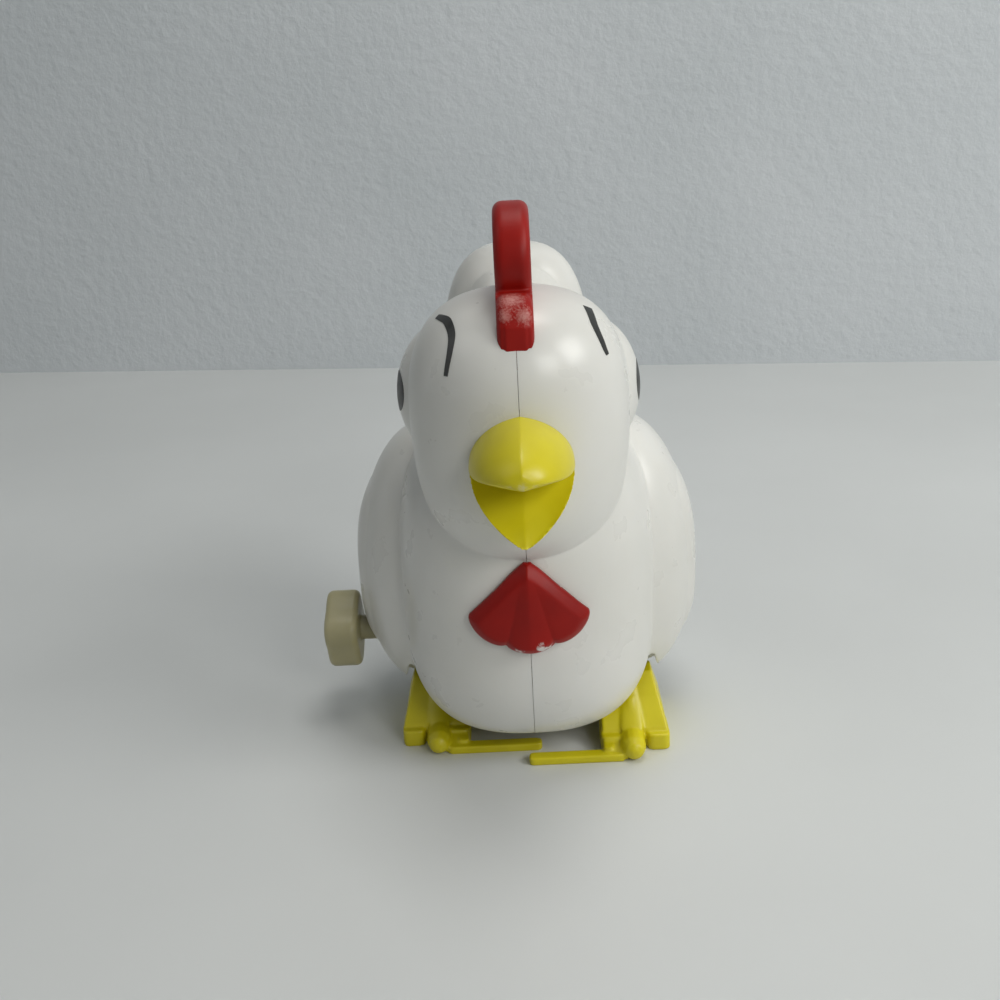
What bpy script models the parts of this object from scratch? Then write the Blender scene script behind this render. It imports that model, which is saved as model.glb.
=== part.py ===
"""Wind-up walking chicken, 80 mm tall, as the pieces it is assembled from.

The toy faces -Y, its left side is +X and it stands on z = 0. A white body in two
halves carries a red comb, a yellow beak and a red wattle and holds a spring motor.
The motor turns one cross shaft with a crank pin at each end, half a turn apart,
and each yellow leg hangs on its own crank pin. A lobed knob on the right winds it.
"""

import math
from collections import namedtuple

import bmesh
import bpy
from mathutils import Matrix, Vector

MM = 0.001

# Clearances between pieces
SEAM = 0.10 * MM            # parting line between two mouldings that close together
FIT = 0.15 * MM             # pieces pressed or trapped against one another
RUN = 0.25 * MM             # pieces that turn or slide in one another
FREE = 0.6 * MM             # moving legs and the walls they pass
OUTSIDE = 50.0 * MM         # farther out than any piece; where cutters may end
SLIVER = 0.002 * MM         # points closer than this are one point

# The toy's mid plane lies to the left of the origin, because the winding knob
# stands out on the right and the origin is the centre of the toy's outer box.
MID_PLANE_X = 3.0 * MM

# Body moulding: torso, head, eye domes, wings and tail are egg shapes that merge
WALL = 1.5 * MM
TORSO_Y = 1.0 * MM
TORSO_Z = 23.5 * MM
TORSO_HALF_WIDTH = 18.6 * MM
TORSO_FRONT = 21.0 * MM
TORSO_BACK = 23.0 * MM
TORSO_UP = 25.5 * MM
TORSO_DOWN = 21.3 * MM
TORSO_FULLNESS = 3.3        # 2 is an ellipse seen from the side; more is squarer
TORSO_PLAN = 2.5            # the same, seen from above

HEAD_Y = -11.0 * MM
HEAD_Z = 52.5 * MM
HEAD_HALF_WIDTH = 14.6 * MM
HEAD_FRONT = 14.0 * MM
HEAD_BACK = 15.0 * MM
HEAD_UP = 16.0 * MM
HEAD_DOWN = 20.6 * MM
HEAD_FULLNESS = 2.7
HEAD_PLAN = 2.1

EYE_X = 9.5 * MM
EYE_Y = -6.5 * MM
EYE_Z = 54.0 * MM
EYE_REACH = 7.0 * MM
EYE_LENGTH = 9.0 * MM
EYE_HEIGHT = 9.5 * MM

WING_X = 12.5 * MM
WING_Y = 6.5 * MM
WING_Z = 22.0 * MM
WING_REACH = 12.7 * MM
WING_FRONT = 14.5 * MM
WING_BACK = 17.5 * MM
WING_UP = 24.0 * MM
WING_DOWN = 18.5 * MM
WING_FULLNESS = 2.3
WING_PLAN = 2.2
FEATHER_STEP = 0.7 * MM     # how far the long feathers stand out of the wing
FEATHER_INSET = 4.5 * MM    # how far they stay inside its outline
FEATHER_FULLNESS = 2.9

TAIL_Y = 26.5 * MM
TAIL_Z = 48.0 * MM
TAIL_HALF_WIDTH = 11.8 * MM
TAIL_FRONT = 9.0 * MM
TAIL_BACK = 9.5 * MM
TAIL_UP = 21.0 * MM
TAIL_DOWN = 22.0 * MM
TAIL_FULLNESS = 2.8
TAIL_LAYERS = 3
TAIL_STEP_IN = 2.6 * MM
TAIL_STEP_FORWARD = 4.2 * MM
TAIL_STEP_DOWN = 2.8 * MM

# Pegs on the right body half and sockets on the left, placed as (y, z)
PEG_RADIUS = 0.9 * MM
PEG_LENGTH = 4.0 * MM
BOSS_RADIUS = 2.1 * MM
MOTOR_PEG_DROP = 1.7 * MM   # the two pegs that hold the motor, below its case's top
HEAD_PEG = (-5.0 * MM, 54.0 * MM)
TAIL_PEG = (26.5 * MM, 52.0 * MM)

# Comb: three round lobes as (y, z, radius) on a root that follows the head
COMB_LOBES = (
    (-19.4 * MM, 66.0 * MM, 3.4 * MM),
    (-12.0 * MM, 72.8 * MM, 7.0 * MM),
    (-3.4 * MM, 70.4 * MM, 6.2 * MM),
)
COMB_THICKNESS = 4.6 * MM
COMB_EDGE = 1.2 * MM
COMB_FRONT = -21.0 * MM
COMB_BACK = 0.0 * MM
COMB_FOOT = 1.0 * MM        # thickness of the feet that catch under the wall
COMB_FOOT_LENGTH = 3.0 * MM

# Beak: two mandibles that part at the gape, where they meet the face
BEAK_HALF_WIDTH = 6.6 * MM
BEAK_GAPE_Z = 48.9 * MM
BEAK_LIP = 0.8 * MM
BEAK_UPPER_TIP = (-36.0 * MM, 2.3 * MM)     # its y, and its height above the gape
BEAK_UPPER_HEIGHT = 6.4 * MM
BEAK_CREST = 0.5 * MM       # how far the crease down its middle stands up
BEAK_LOWER_TIP = (-31.6 * MM, -7.6 * MM)
BEAK_LOWER_DEPTH = 9.1 * MM
BEAK_TIP_HALF_WIDTH = 0.6 * MM
BEAK_PLUG_RADIUS = 2.2 * MM
BEAK_PLUG_DROP = 2.4 * MM   # from the gape down to the middle of the plug
PLUG_COLLAR = 0.9 * MM

# Wattle: a fan with scalloped lobes that lies on the chest
WATTLE_RISE = 2.4 * MM      # how far its tip stands above the lowest point of the head
WATTLE_LENGTH = 13.4 * MM
WATTLE_CORNER_LENGTH = 12.1 * MM
WATTLE_SPREAD = 46.0        # degrees each side of straight down
WATTLE_LOBES = 3
WATTLE_NOTCH = 0.9 * MM
WATTLE_THICKNESS = 1.7 * MM
WATTLE_RIDGE = 0.5 * MM     # how far its middle stands out beyond that
WATTLE_FLUTE = 0.4 * MM     # depth of the flutes that run up from the notches
WATTLE_EDGE = 1.3 * MM
WATTLE_PLUG_RADIUS = 1.2 * MM
WATTLE_PLUG_RISE = 2.0 * MM     # from its lowest lobe up to the middle of the plug

# Spring motor case
CASE_HALF_WIDTH = 7.2 * MM
CASE_WALL = 1.0 * MM
CASE_ROOM = 0.6 * MM        # between the wheels and the case's rim
CASE_CORNER = 2.0 * MM
CASE_POST_RADIUS = 1.2 * MM
CASE_POST_INSET = 2.3 * MM
CASE_PIN_RADIUS = 0.6 * MM
EAR_THICKNESS = 1.6 * MM
EAR_HALF_HEIGHT = 2.4 * MM

# Gear train: each shaft is placed as (y, z), and teeth set the other distances
MODULE = 0.5 * MM
WINDING_AXIS = (5.0 * MM, 13.4 * MM)
CRANK_AXIS = (-4.8 * MM, 15.5 * MM)
GREAT_TEETH = 30
SECOND_PINION_TEETH = 8
SECOND_WHEEL_TEETH = 22
CRANK_PINION_TEETH = 10
CRANK_WHEEL_TEETH = 16
STAR_PINION_TEETH = 8
STAR_BEARING = 276.0        # degrees, from the crank shaft towards the star wheel
STAR_POINTS = 9
STAR_RADIUS = 2.8 * MM
STAR_DEPTH = 1.0 * MM
TOOTH_RISE = 0.40 * MM      # height of a tooth above the pitch circle
TOOTH_FALL = 0.60 * MM      # depth of a gap below it
TOOTH_TIP = 0.32 * MM       # width of a tooth at its tip
TOOTH_ROOT = 0.80 * MM      # width of a tooth at its root
WHEEL_THICKNESS = 1.4 * MM
WHEEL_GAP = 0.5 * MM        # between wheels that pass side by side
GREAT_WHEEL_X = -0.2 * MM
WINDING_SHAFT_RADIUS = 1.3 * MM
CRANK_SHAFT_RADIUS = 1.0 * MM
ARBOR_RADIUS = 0.5 * MM

# Mainspring
SPRING_TURNS = 5
SPRING_STEPS = 16           # facets in one turn
SPRING_STRIP = 0.35 * MM
SPRING_WIDTH = 4.6 * MM
SPRING_POST_RADIUS = 0.7 * MM
SPRING_POST_BEARING = 45.0

# Rocking weight that brakes the star wheel
ROCKER_REACH = 5.8 * MM
ROCKER_BEARING = -20.0      # degrees, from the star wheel towards the rocker
ROCKER_HUB = 1.2 * MM
ROCKER_ARM = 0.45 * MM
PALLET_BEARING = 38.0       # degrees each side of the line between the two
PALLET_RADIUS = 0.5 * MM
PALLET_GAP = 0.45 * MM
WEIGHT_LENGTH = 5.0 * MM
WEIGHT_HALF_HEIGHT = 1.4 * MM

# Cranks, and the plates by which the legs hang on them
CRANK_THROW = 2.0 * MM
CRANK_PIN_RADIUS = 1.1 * MM
CRANK_DISC_THICKNESS = 1.6 * MM
CRANK_DISC_RIM = 0.9 * MM
LEG_PLATE_THICKNESS = 2.6 * MM
LEG_BOSS_RIM = 2.0 * MM
CLIP_THICKNESS = 0.7 * MM
CLIP_RADIUS = 2.3 * MM
GUIDE_RISE = 8.4 * MM
GUIDE_RADIUS = 0.8 * MM
GUIDE_RIM = 1.4 * MM

# Foot: y is measured from the crank pin that carries the leg, x from the mid plane
BOOT_INNER_X = 9.8 * MM
BOOT_OUTER_X = 19.5 * MM
BOOT_TOP_X = 17.8 * MM
BOOT_FRONT = -4.6 * MM
BOOT_BACK = 9.0 * MM
BOOT_INSTEP = (-1.5 * MM, 6.6 * MM)
BOOT_SHOULDER = (1.2 * MM, 9.2 * MM)
BOOT_TOP_BACK = 4.5 * MM
BOOT_CORNER = 1.2 * MM
ANKLE_HEIGHT = 2.9 * MM
HEEL_BACK = 11.5 * MM
HEEL_HALF_WIDTH = 2.6 * MM
HEEL_HEIGHT = 1.8 * MM
MIDDLE_TOE_X = 14.2 * MM
MIDDLE_TOE_FRONT = -9.2 * MM
MIDDLE_TOE_RADIUS = 1.8 * MM
TOE_RIDGE = 0.6 * MM        # how far the middle toe's ridge stands out of the boot
SIDE_TOE_FRONT = -5.9 * MM
SIDE_TOE_WIDTH = 3.3 * MM
SIDE_TOE_HEIGHT = 2.5 * MM
SIDE_TOE_STEP = 0.2 * MM    # how far the side toes stand out of the boot's sides
INNER_TOE_FRONT = -8.6 * MM
INNER_TOE_DEPTH = 1.9 * MM
INNER_TOE_HEIGHT = 1.2 * MM
INNER_TOE_PAST_MIDDLE = 1.0 * MM

# Winding knob
KNOB_RADIUS = 5.9 * MM
KNOB_LOBES = 4
KNOB_LOBE_DEPTH = 1.1 * MM
KNOB_LOBE_BEARING = 70.0    # degrees, where one lobe points at rest
KNOB_STAND_OFF = 0.5 * MM   # from the widest place of the wing
KNOB_THICKNESS = 5.0 * MM
KNOB_EDGE = 0.7 * MM
KNOB_DISH = 0.6 * MM
KNOB_RIM = 1.2 * MM
KNOB_BOSS_RADIUS = 1.9 * MM
KNOB_BOSS_LENGTH = 6.0 * MM
KNOB_FLOOR = 1.5 * MM

# Facets round a turned piece, by its size
FEW = 10
ROUND = 14
TORSO_FACETS = (28, 13)
HEAD_FACETS = (24, 12)
LIMB_FACETS = (20, 10)
INSIDE_FACETS = (18, 8)

WHITE = ("white_abs", (0.86, 0.86, 0.83), 0.25, 0.0)
RED = ("red_abs", (0.52, 0.03, 0.02), 0.3, 0.0)
YELLOW = ("yellow_abs", (0.80, 0.68, 0.02), 0.35, 0.0)
IVORY = ("ivory_abs", (0.78, 0.73, 0.55), 0.4, 0.0)
ACETAL = ("white_acetal", (0.80, 0.80, 0.76), 0.5, 0.0)
STEEL = ("steel", (0.45, 0.45, 0.46), 0.3, 1.0)

Egg = namedtuple("Egg", "x y z half_width front back up down fullness plan")

# Places that follow from the sizes above
CRANK_DISC_X = CASE_HALF_WIDTH + FIT + RUN
LEG_PLATE_X = CRANK_DISC_X + CRANK_DISC_THICKNESS + RUN
CLIP_X = LEG_PLATE_X + LEG_PLATE_THICKNESS + RUN
PIN_END_X = CLIP_X + CLIP_THICKNESS + RUN
WINDOW_RADIUS = GUIDE_RADIUS + CRANK_THROW + RUN
SECOND_WHEEL_X = GREAT_WHEEL_X + WHEEL_THICKNESS + WHEEL_GAP
CRANK_WHEEL_X = SECOND_WHEEL_X + WHEEL_THICKNESS + WHEEL_GAP
TORSO = Egg(0.0, TORSO_Y, TORSO_Z, TORSO_HALF_WIDTH, TORSO_FRONT, TORSO_BACK,
            TORSO_UP, TORSO_DOWN, TORSO_FULLNESS, TORSO_PLAN)
HEAD = Egg(0.0, HEAD_Y, HEAD_Z, HEAD_HALF_WIDTH, HEAD_FRONT, HEAD_BACK,
           HEAD_UP, HEAD_DOWN, HEAD_FULLNESS, HEAD_PLAN)
KNOB_INNER_X = WING_X + WING_REACH + FEATHER_STEP + KNOB_STAND_OFF
BEAK_PLUG_Z = BEAK_GAPE_Z - BEAK_PLUG_DROP
WATTLE_TOP_Z = HEAD_Z - HEAD_DOWN + WATTLE_RISE
WATTLE_PLUG_Z = WATTLE_TOP_Z - WATTLE_LENGTH + WATTLE_PLUG_RISE


def polar(centre, radius, degrees):
    """Point at a distance and bearing from a centre."""
    angle = math.radians(degrees)
    return (centre[0] + radius * math.cos(angle), centre[1] + radius * math.sin(angle))


def bearing(start, end):
    return math.degrees(math.atan2(end[1] - start[1], end[0] - start[0]))


def third_corner(a, b, from_a, from_b):
    """Upper point that lies at given distances from two others."""
    apart = math.dist(a, b)
    along = (from_a**2 - from_b**2 + apart**2) / (2 * apart)
    rise = math.sqrt(from_a**2 - along**2)
    turn = -90 if b[0] < a[0] else 90
    return polar(polar(a, along, bearing(a, b)), rise, bearing(a, b) + turn)


def centres_apart(teeth, other_teeth):
    return MODULE * (teeth + other_teeth) / 2


SECOND_AXIS = third_corner(WINDING_AXIS, CRANK_AXIS,
                           centres_apart(GREAT_TEETH, SECOND_PINION_TEETH),
                           centres_apart(SECOND_WHEEL_TEETH, CRANK_PINION_TEETH))
STAR_AXIS = polar(CRANK_AXIS, centres_apart(CRANK_WHEEL_TEETH, STAR_PINION_TEETH),
                  STAR_BEARING)
ROCKER_AXIS = polar(STAR_AXIS, ROCKER_REACH, ROCKER_BEARING)
GUIDE_AXIS = (CRANK_AXIS[0], CRANK_AXIS[1] + GUIDE_RISE)


def tip_radius(teeth):
    return MODULE * teeth / 2 + TOOTH_RISE


# The case's rim stands round the three largest wheels
CASE_RIM = CASE_ROOM + CASE_WALL
CASE_FRONT = CRANK_AXIS[0] - tip_radius(CRANK_WHEEL_TEETH) - CASE_RIM
CASE_BACK = WINDING_AXIS[0] + tip_radius(GREAT_TEETH) + CASE_RIM
CASE_BOTTOM = WINDING_AXIS[1] - tip_radius(GREAT_TEETH) - CASE_RIM
CASE_TOP = SECOND_AXIS[1] + tip_radius(SECOND_WHEEL_TEETH) + CASE_RIM
SPRING_OUTER = tip_radius(GREAT_TEETH)

# The legs swing past the chest peg, and the back peg stands behind the case
LEG_EYE_RADIUS = WINDOW_RADIUS + GUIDE_RIM
CHEST_PEG = (CRANK_AXIS[0] - CRANK_THROW - LEG_EYE_RADIUS - 2 * FREE - BOSS_RADIUS,
             CASE_TOP - MOTOR_PEG_DROP)
BACK_PEG = (CASE_BACK + FREE + BOSS_RADIUS, CASE_TOP - MOTOR_PEG_DROP)


def material(spec):
    name, colour, roughness, metallic = spec
    found = bpy.data.materials.get(name)
    if found:
        return found
    made = bpy.data.materials.new(name)
    made.use_nodes = True
    shader = made.node_tree.nodes["Principled BSDF"]
    shader.inputs["Base Color"].default_value = (*colour, 1.0)
    shader.inputs["Roughness"].default_value = roughness
    shader.inputs["Metallic"].default_value = metallic
    made.diffuse_color = (*colour, 1.0)
    return made


def make_object(bm):
    """Turn a bmesh into an object with its faces pointing out."""
    bmesh.ops.recalc_face_normals(bm, faces=bm.faces)
    mesh = bpy.data.meshes.new("solid")
    bm.to_mesh(mesh)
    bm.free()
    made = bpy.data.objects.new("solid", mesh)
    bpy.context.collection.objects.link(made)
    return made


def combine(target, tool, operation):
    """Join, cut or trim target with tool, and remove the tool."""
    tool.hide_render = True
    tool.display_type = "WIRE"
    step = target.modifiers.new(operation, "BOOLEAN")
    step.operation = operation
    step.solver = "EXACT"
    step.object = tool
    bpy.context.view_layer.update()
    seen = target.evaluated_get(bpy.context.evaluated_depsgraph_get())
    target.data = bpy.data.meshes.new_from_object(seen)
    target.modifiers.clear()
    bpy.data.objects.remove(tool)
    return target


def join(target, *tools):
    for tool in tools:
        combine(target, tool, "UNION")
    return target


def cut(target, *tools):
    for tool in tools:
        combine(target, tool, "DIFFERENCE")
    return target


def trim(target, *tools):
    """Keep only what lies inside each tool."""
    for tool in tools:
        combine(target, tool, "INTERSECT")
    return target


def copy_of(source):
    made = source.copy()
    made.data = source.data.copy()
    bpy.context.collection.objects.link(made)
    return made


def weld(made):
    """Merge the points that a Boolean leaves almost on top of each other."""
    bm = bmesh.new()
    bm.from_mesh(made.data)
    bmesh.ops.remove_doubles(bm, verts=bm.verts, dist=SLIVER)
    bmesh.ops.dissolve_degenerate(bm, edges=bm.edges, dist=SLIVER)
    loose = [edge for edge in bm.edges if not edge.link_faces]
    bmesh.ops.delete(bm, geom=loose, context="EDGES")
    bm.to_mesh(made.data)
    bm.free()


def finish(made, name, spec, at=(0.0, 0.0, 0.0), smooth=32.0):
    """Name the piece, give it its material and its own origin, and shade it."""
    weld(made)
    made.name = name
    made.data.name = name
    made.data.transform(Matrix.Translation(-Vector(at)))
    made.location = at
    made.parent = toy
    made.data.materials.clear()
    made.data.materials.append(material(spec))
    made.data.shade_smooth()
    made.data.set_sharp_from_angle(angle=math.radians(smooth))
    return made


def skin(rings, closed=False):
    """Closed surface through rings of points; closed joins the last to the first."""
    bm = bmesh.new()
    rows = [[bm.verts.new(point) for point in ring] for ring in rings]
    count = len(rows[0])
    pairs = list(zip(rows, rows[1:]))
    if closed:
        pairs.append((rows[-1], rows[0]))
    for lower, upper in pairs:
        for i in range(count):
            j = (i + 1) % count
            bm.faces.new((lower[i], lower[j], upper[j], upper[i]))
    if not closed:
        bm.faces.new(reversed(rows[0]))
        bm.faces.new(rows[-1])
    return make_object(bm)


def turned(profile, centre=(0.0, 0.0), sides=ROUND, bored=False, axis="X"):
    """Turn a profile of (place along the axis, radius) points about an axis.

    The centre is (y, z) for an X axis, (x, z) for Y and (x, y) for Z.
    """
    order = {"X": (0, 1, 2), "Y": (1, 0, 2), "Z": (1, 2, 0)}[axis]
    rings = []
    for along, radius in profile:
        ring = []
        for i in range(sides):
            a, b = polar(centre, radius, 360 * (i + 0.5) / sides)
            values = (along, a, b)
            ring.append(tuple(values[place] for place in order))
        rings.append(ring)
    return skin(rings, closed=bored)


def rod(radius, start, end, centre=(0.0, 0.0), sides=ROUND, axis="X"):
    return turned([(start, radius), (end, radius)], centre, sides, axis=axis)


def tube(radius, bore, start, end, centre=(0.0, 0.0), sides=ROUND):
    """Round bar along X with a hole through it."""
    profile = [(start, bore), (start, radius), (end, radius), (end, bore)]
    return turned(profile, centre, sides, bored=True)


def plate(outline, start, end):
    """Flat plate across X from an outline of (y, z) points."""
    return skin([[(start, y, z) for y, z in outline], [(end, y, z) for y, z in outline]])


def block(x0, x1, y0, y1, z0, z1):
    return plate([(y0, z0), (y1, z0), (y1, z1), (y0, z1)], min(x0, x1), max(x0, x1))


def across_y(outline):
    """Long prism along Y from an outline of (x, z) points, to cut or trim with."""
    return skin([[(x, y, z) for x, z in outline] for y in (2 * OUTSIDE, -2 * OUTSIDE)])


def bar(start, end, half_width, x0, x1):
    """Straight flat bar across X that runs between two (y, z) points."""
    along = bearing(start, end)
    corners = [polar(start, half_width, along - 90), polar(end, half_width, along - 90),
               polar(end, half_width, along + 90), polar(start, half_width, along + 90)]
    return plate(corners, x0, x1)


def rounded_outline(a0, a1, b0, b1, radius, steps=2):
    """Rectangle with round corners, as points (a, b)."""
    points = []
    corners = ((a1 - radius, b1 - radius, 0), (a0 + radius, b1 - radius, 90),
               (a0 + radius, b0 + radius, 180), (a1 - radius, b0 + radius, 270))
    for a, b, start in corners:
        for i in range(steps + 1):
            points.append(polar((a, b), radius, start + 90 * i / steps))
    return points


def mirrored(solid):
    """Turn a left piece into its right twin."""
    solid.data.transform(Matrix.Scale(-1.0, 4, (1.0, 0.0, 0.0)))
    solid.data.flip_normals()
    return solid


def power(value, exponent):
    return math.copysign(abs(value) ** exponent, value)


def egg_point(egg, turn, rise, grow=0.0):
    """Point on an egg: turn is the bearing round it, rise its latitude."""
    out = power(math.cos(rise), 2 / egg.fullness)
    across = power(math.cos(turn), 2 / egg.plan) * out
    along = power(math.sin(turn), 2 / egg.plan) * out
    height = power(math.sin(rise), 2 / egg.fullness)
    long = (egg.back if along > 0 else egg.front) + grow
    tall = (egg.up if height > 0 else egg.down) + grow
    return (egg.x + (egg.half_width + grow) * across, egg.y + long * along,
            egg.z + tall * height)


def rest_of(share, exponent):
    """Other coordinate of a unit superellipse."""
    return (1 - min(abs(share), 0.999) ** exponent) ** (1 / exponent)


def egg_front(egg, x, z, grow=0.0):
    """The y of an egg's front surface at a given x and z."""
    out = rest_of((z - egg.z) / ((egg.up if z > egg.z else egg.down) + grow), egg.fullness)
    across = (x - egg.x) / ((egg.half_width + grow) * out)
    return egg.y - (egg.front + grow) * out * rest_of(across, egg.plan)


def egg_top(egg, x, y, grow=0.0):
    """The z of an egg's upper surface at a given x and y."""
    across = abs(x - egg.x) / (egg.half_width + grow)
    along = abs(y - egg.y) / ((egg.back if y > egg.y else egg.front) + grow)
    out = (across**egg.plan + along**egg.plan) ** (1 / egg.plan)
    return egg.z + (egg.up + grow) * rest_of(out, egg.fullness)


def egg_solid(egg, grow=0.0, facets=LIMB_FACETS):
    """Closed egg with its poles above and below, grown outwards evenly."""
    sides, rings = facets if grow > -WALL else INSIDE_FACETS
    bm = bmesh.new()
    rows = []
    for k in range(1, rings):
        share = 2 * k / rings - 1
        rise = power(share, 0.9) * math.pi / 2
        rows.append([bm.verts.new(egg_point(egg, math.tau * (i + 0.5) / sides, rise, grow))
                     for i in range(sides)])
    low = bm.verts.new((egg.x, egg.y, egg.z - egg.down - grow))
    top = bm.verts.new((egg.x, egg.y, egg.z + egg.up + grow))
    for i in range(sides):
        j = (i + 1) % sides
        bm.faces.new((low, rows[0][j], rows[0][i]))
        bm.faces.new((top, rows[-1][i], rows[-1][j]))
        for lower, upper in zip(rows, rows[1:]):
            bm.faces.new((lower[i], lower[j], upper[j], upper[i]))
    return make_object(bm)


def head_solid(grow=0.0):
    return egg_solid(HEAD, grow, HEAD_FACETS)


def torso_solid(grow=0.0):
    return egg_solid(TORSO, grow, TORSO_FACETS)


def wing_egg(side):
    return Egg(side * WING_X, WING_Y, WING_Z, WING_REACH, WING_FRONT, WING_BACK,
               WING_UP, WING_DOWN, WING_FULLNESS, WING_PLAN)


def feather_egg(side):
    """Long feathers: a squarer egg inside the wing's outline that stands out of it."""
    return Egg(side * WING_X, WING_Y, WING_Z, WING_REACH + FEATHER_STEP,
               WING_FRONT - FEATHER_INSET, WING_BACK - FEATHER_INSET, WING_UP - FEATHER_INSET,
               WING_DOWN - FEATHER_INSET, FEATHER_FULLNESS, FEATHER_FULLNESS)


def eye_egg(side):
    return Egg(side * EYE_X, EYE_Y, EYE_Z, EYE_REACH, EYE_LENGTH, EYE_LENGTH,
               EYE_HEIGHT, EYE_HEIGHT, 2.0, 2.0)


def tail_egg(layer):
    """Each layer in front of the first is lower, narrower and further forward."""
    return Egg(0.0, TAIL_Y - layer * TAIL_STEP_FORWARD, TAIL_Z,
               TAIL_HALF_WIDTH - layer * TAIL_STEP_IN, TAIL_FRONT, TAIL_BACK,
               TAIL_UP - layer * TAIL_STEP_DOWN, TAIL_DOWN, TAIL_FULLNESS, 2.0)


def body_core(grow=0.0):
    """Torso, head, wings and tail as one solid: the outside, or shrunk, the hollow."""
    solid = torso_solid(grow)
    join(solid, head_solid(grow), egg_solid(tail_egg(0), grow))
    for side in (-1, 1):
        join(solid, egg_solid(wing_egg(side), grow))
    return solid


def body_outside():
    solid = body_core()
    for layer in range(1, TAIL_LAYERS):
        join(solid, egg_solid(tail_egg(layer)))
    for side in (-1, 1):
        join(solid, egg_solid(eye_egg(side)), egg_solid(feather_egg(side)))
    return solid


def boot_profile():
    """Side view of the boot without its toes, as (y, z) from the crank pin."""
    floor = -CRANK_AXIS[1]
    return [(BOOT_FRONT, floor), (BOOT_BACK, floor), (BOOT_BACK, floor + ANKLE_HEIGHT),
            (BOOT_TOP_BACK, floor + BOOT_SHOULDER[1]),
            (BOOT_SHOULDER[0], floor + BOOT_SHOULDER[1]),
            (BOOT_INSTEP[0], floor + BOOT_INSTEP[1]), (BOOT_FRONT, floor + ANKLE_HEIGHT)]


def boot_cheek():
    """Outer side of the boot seen from the front, as (x, z) from below its sole up."""
    floor = -CRANK_AXIS[1]
    lean = (BOOT_OUTER_X - BOOT_TOP_X) / (BOOT_SHOULDER[1] - ANKLE_HEIGHT)
    return [(BOOT_OUTER_X, floor - OUTSIDE), (BOOT_OUTER_X, floor + ANKLE_HEIGHT),
            (BOOT_TOP_X - lean * FREE, floor + BOOT_SHOULDER[1] + FREE)]


def grown(outline, distance):
    """Convex outline, anticlockwise, with every side moved out by a distance."""
    made = []
    count = len(outline)
    for i in range(count):
        before, here, after = outline[i - 1], outline[i], outline[(i + 1) % count]
        first = math.radians(bearing(before, here) - 90)
        second = math.radians(bearing(here, after) - 90)
        reach = distance / math.cos((second - first) / 2 % math.pi)
        middle = math.atan2(math.sin(first) + math.sin(second),
                            math.cos(first) + math.cos(second))
        made.append(polar(here, abs(reach), math.degrees(middle)))
    return made


def cut_opening(shell):
    """Cut away the underside round the motor, and where both boots swing."""
    cut(shell, block(-CASE_HALF_WIDTH - FREE, CASE_HALF_WIDTH + FREE,
                     CASE_FRONT - 2 * FREE, CASE_BACK + FREE, -WALL, CRANK_AXIS[1]))
    swing = [(CRANK_AXIS[0] + y, CRANK_AXIS[1] + z)
             for y, z in grown(boot_profile(), TOE_RIDGE + CRANK_THROW + FREE)]
    cheek = [(x + FREE, CRANK_AXIS[1] + z + CRANK_THROW) for x, z in boot_cheek()]
    for side in (-1, 1):
        space = trim(plate(swing, CASE_HALF_WIDTH, BOOT_OUTER_X + SIDE_TOE_STEP + 2 * FREE),
                     across_y(cheek + [(CASE_HALF_WIDTH, 2 * OUTSIDE),
                                       (CASE_HALF_WIDTH, -OUTSIDE)]))
        cut(shell, space if side > 0 else mirrored(space))


def body_half(shell, side):
    return trim(copy_of(shell), block(side * SEAM / 2, side * OUTSIDE, -OUTSIDE, OUTSIDE,
                                      -WALL, 2 * OUTSIDE))


def socket_face(peg):
    """Where the left half's socket begins; two of them leave room for a motor ear."""
    ear = EAR_THICKNESS + 2 * FIT if peg in (CHEST_PEG, BACK_PEG) else 0.0
    return SEAM / 2 + ear


def add_pegs(right, left):
    """Pegs and sockets on bosses that stand on the inner walls of the two halves."""
    for peg in (CHEST_PEG, BACK_PEG, HEAD_PEG, TAIL_PEG):
        face = socket_face(peg)
        stub = rod(BOSS_RADIUS, -OUTSIDE, -SEAM / 2, peg, FEW)
        join(stub, rod(PEG_RADIUS, -BOSS_RADIUS, face + PEG_LENGTH - FIT, peg, FEW))
        join(right, trim(stub, body_core(-WALL / 2)))
        join(left, trim(rod(BOSS_RADIUS, face, OUTSIDE, peg, FEW), body_core(-WALL / 2)))
        cut(left, rod(PEG_RADIUS + FIT, -WALL, face + PEG_LENGTH, peg, FEW))


def comb_root(half_width, depth, slack=0.0):
    """Plate across the mid plane that follows the top of the head."""
    steps = 6
    under, over = [], []
    for i in range(steps + 1):
        y = COMB_FRONT - slack + (COMB_BACK - COMB_FRONT + 2 * slack) * i / steps
        under.append((y, egg_top(HEAD, 0.0, y, -depth)))
        over.append((y, egg_top(HEAD, 0.0, y, WALL)))
    return plate(under + over[::-1], -half_width, half_width)


def comb_foot(start):
    """Foot wider than the slot, lying under the head wall."""
    edge = COMB_THICKNESS / 2 + COMB_FOOT
    end = start + COMB_FOOT_LENGTH
    low = min(egg_top(HEAD, edge, y, -WALL - COMB_FOOT) for y in (start, end))
    foot = block(-edge, edge, start, end, low - COMB_FOOT, HEAD_Z + HEAD_UP)
    return trim(foot, head_solid(-WALL - FIT))


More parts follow.
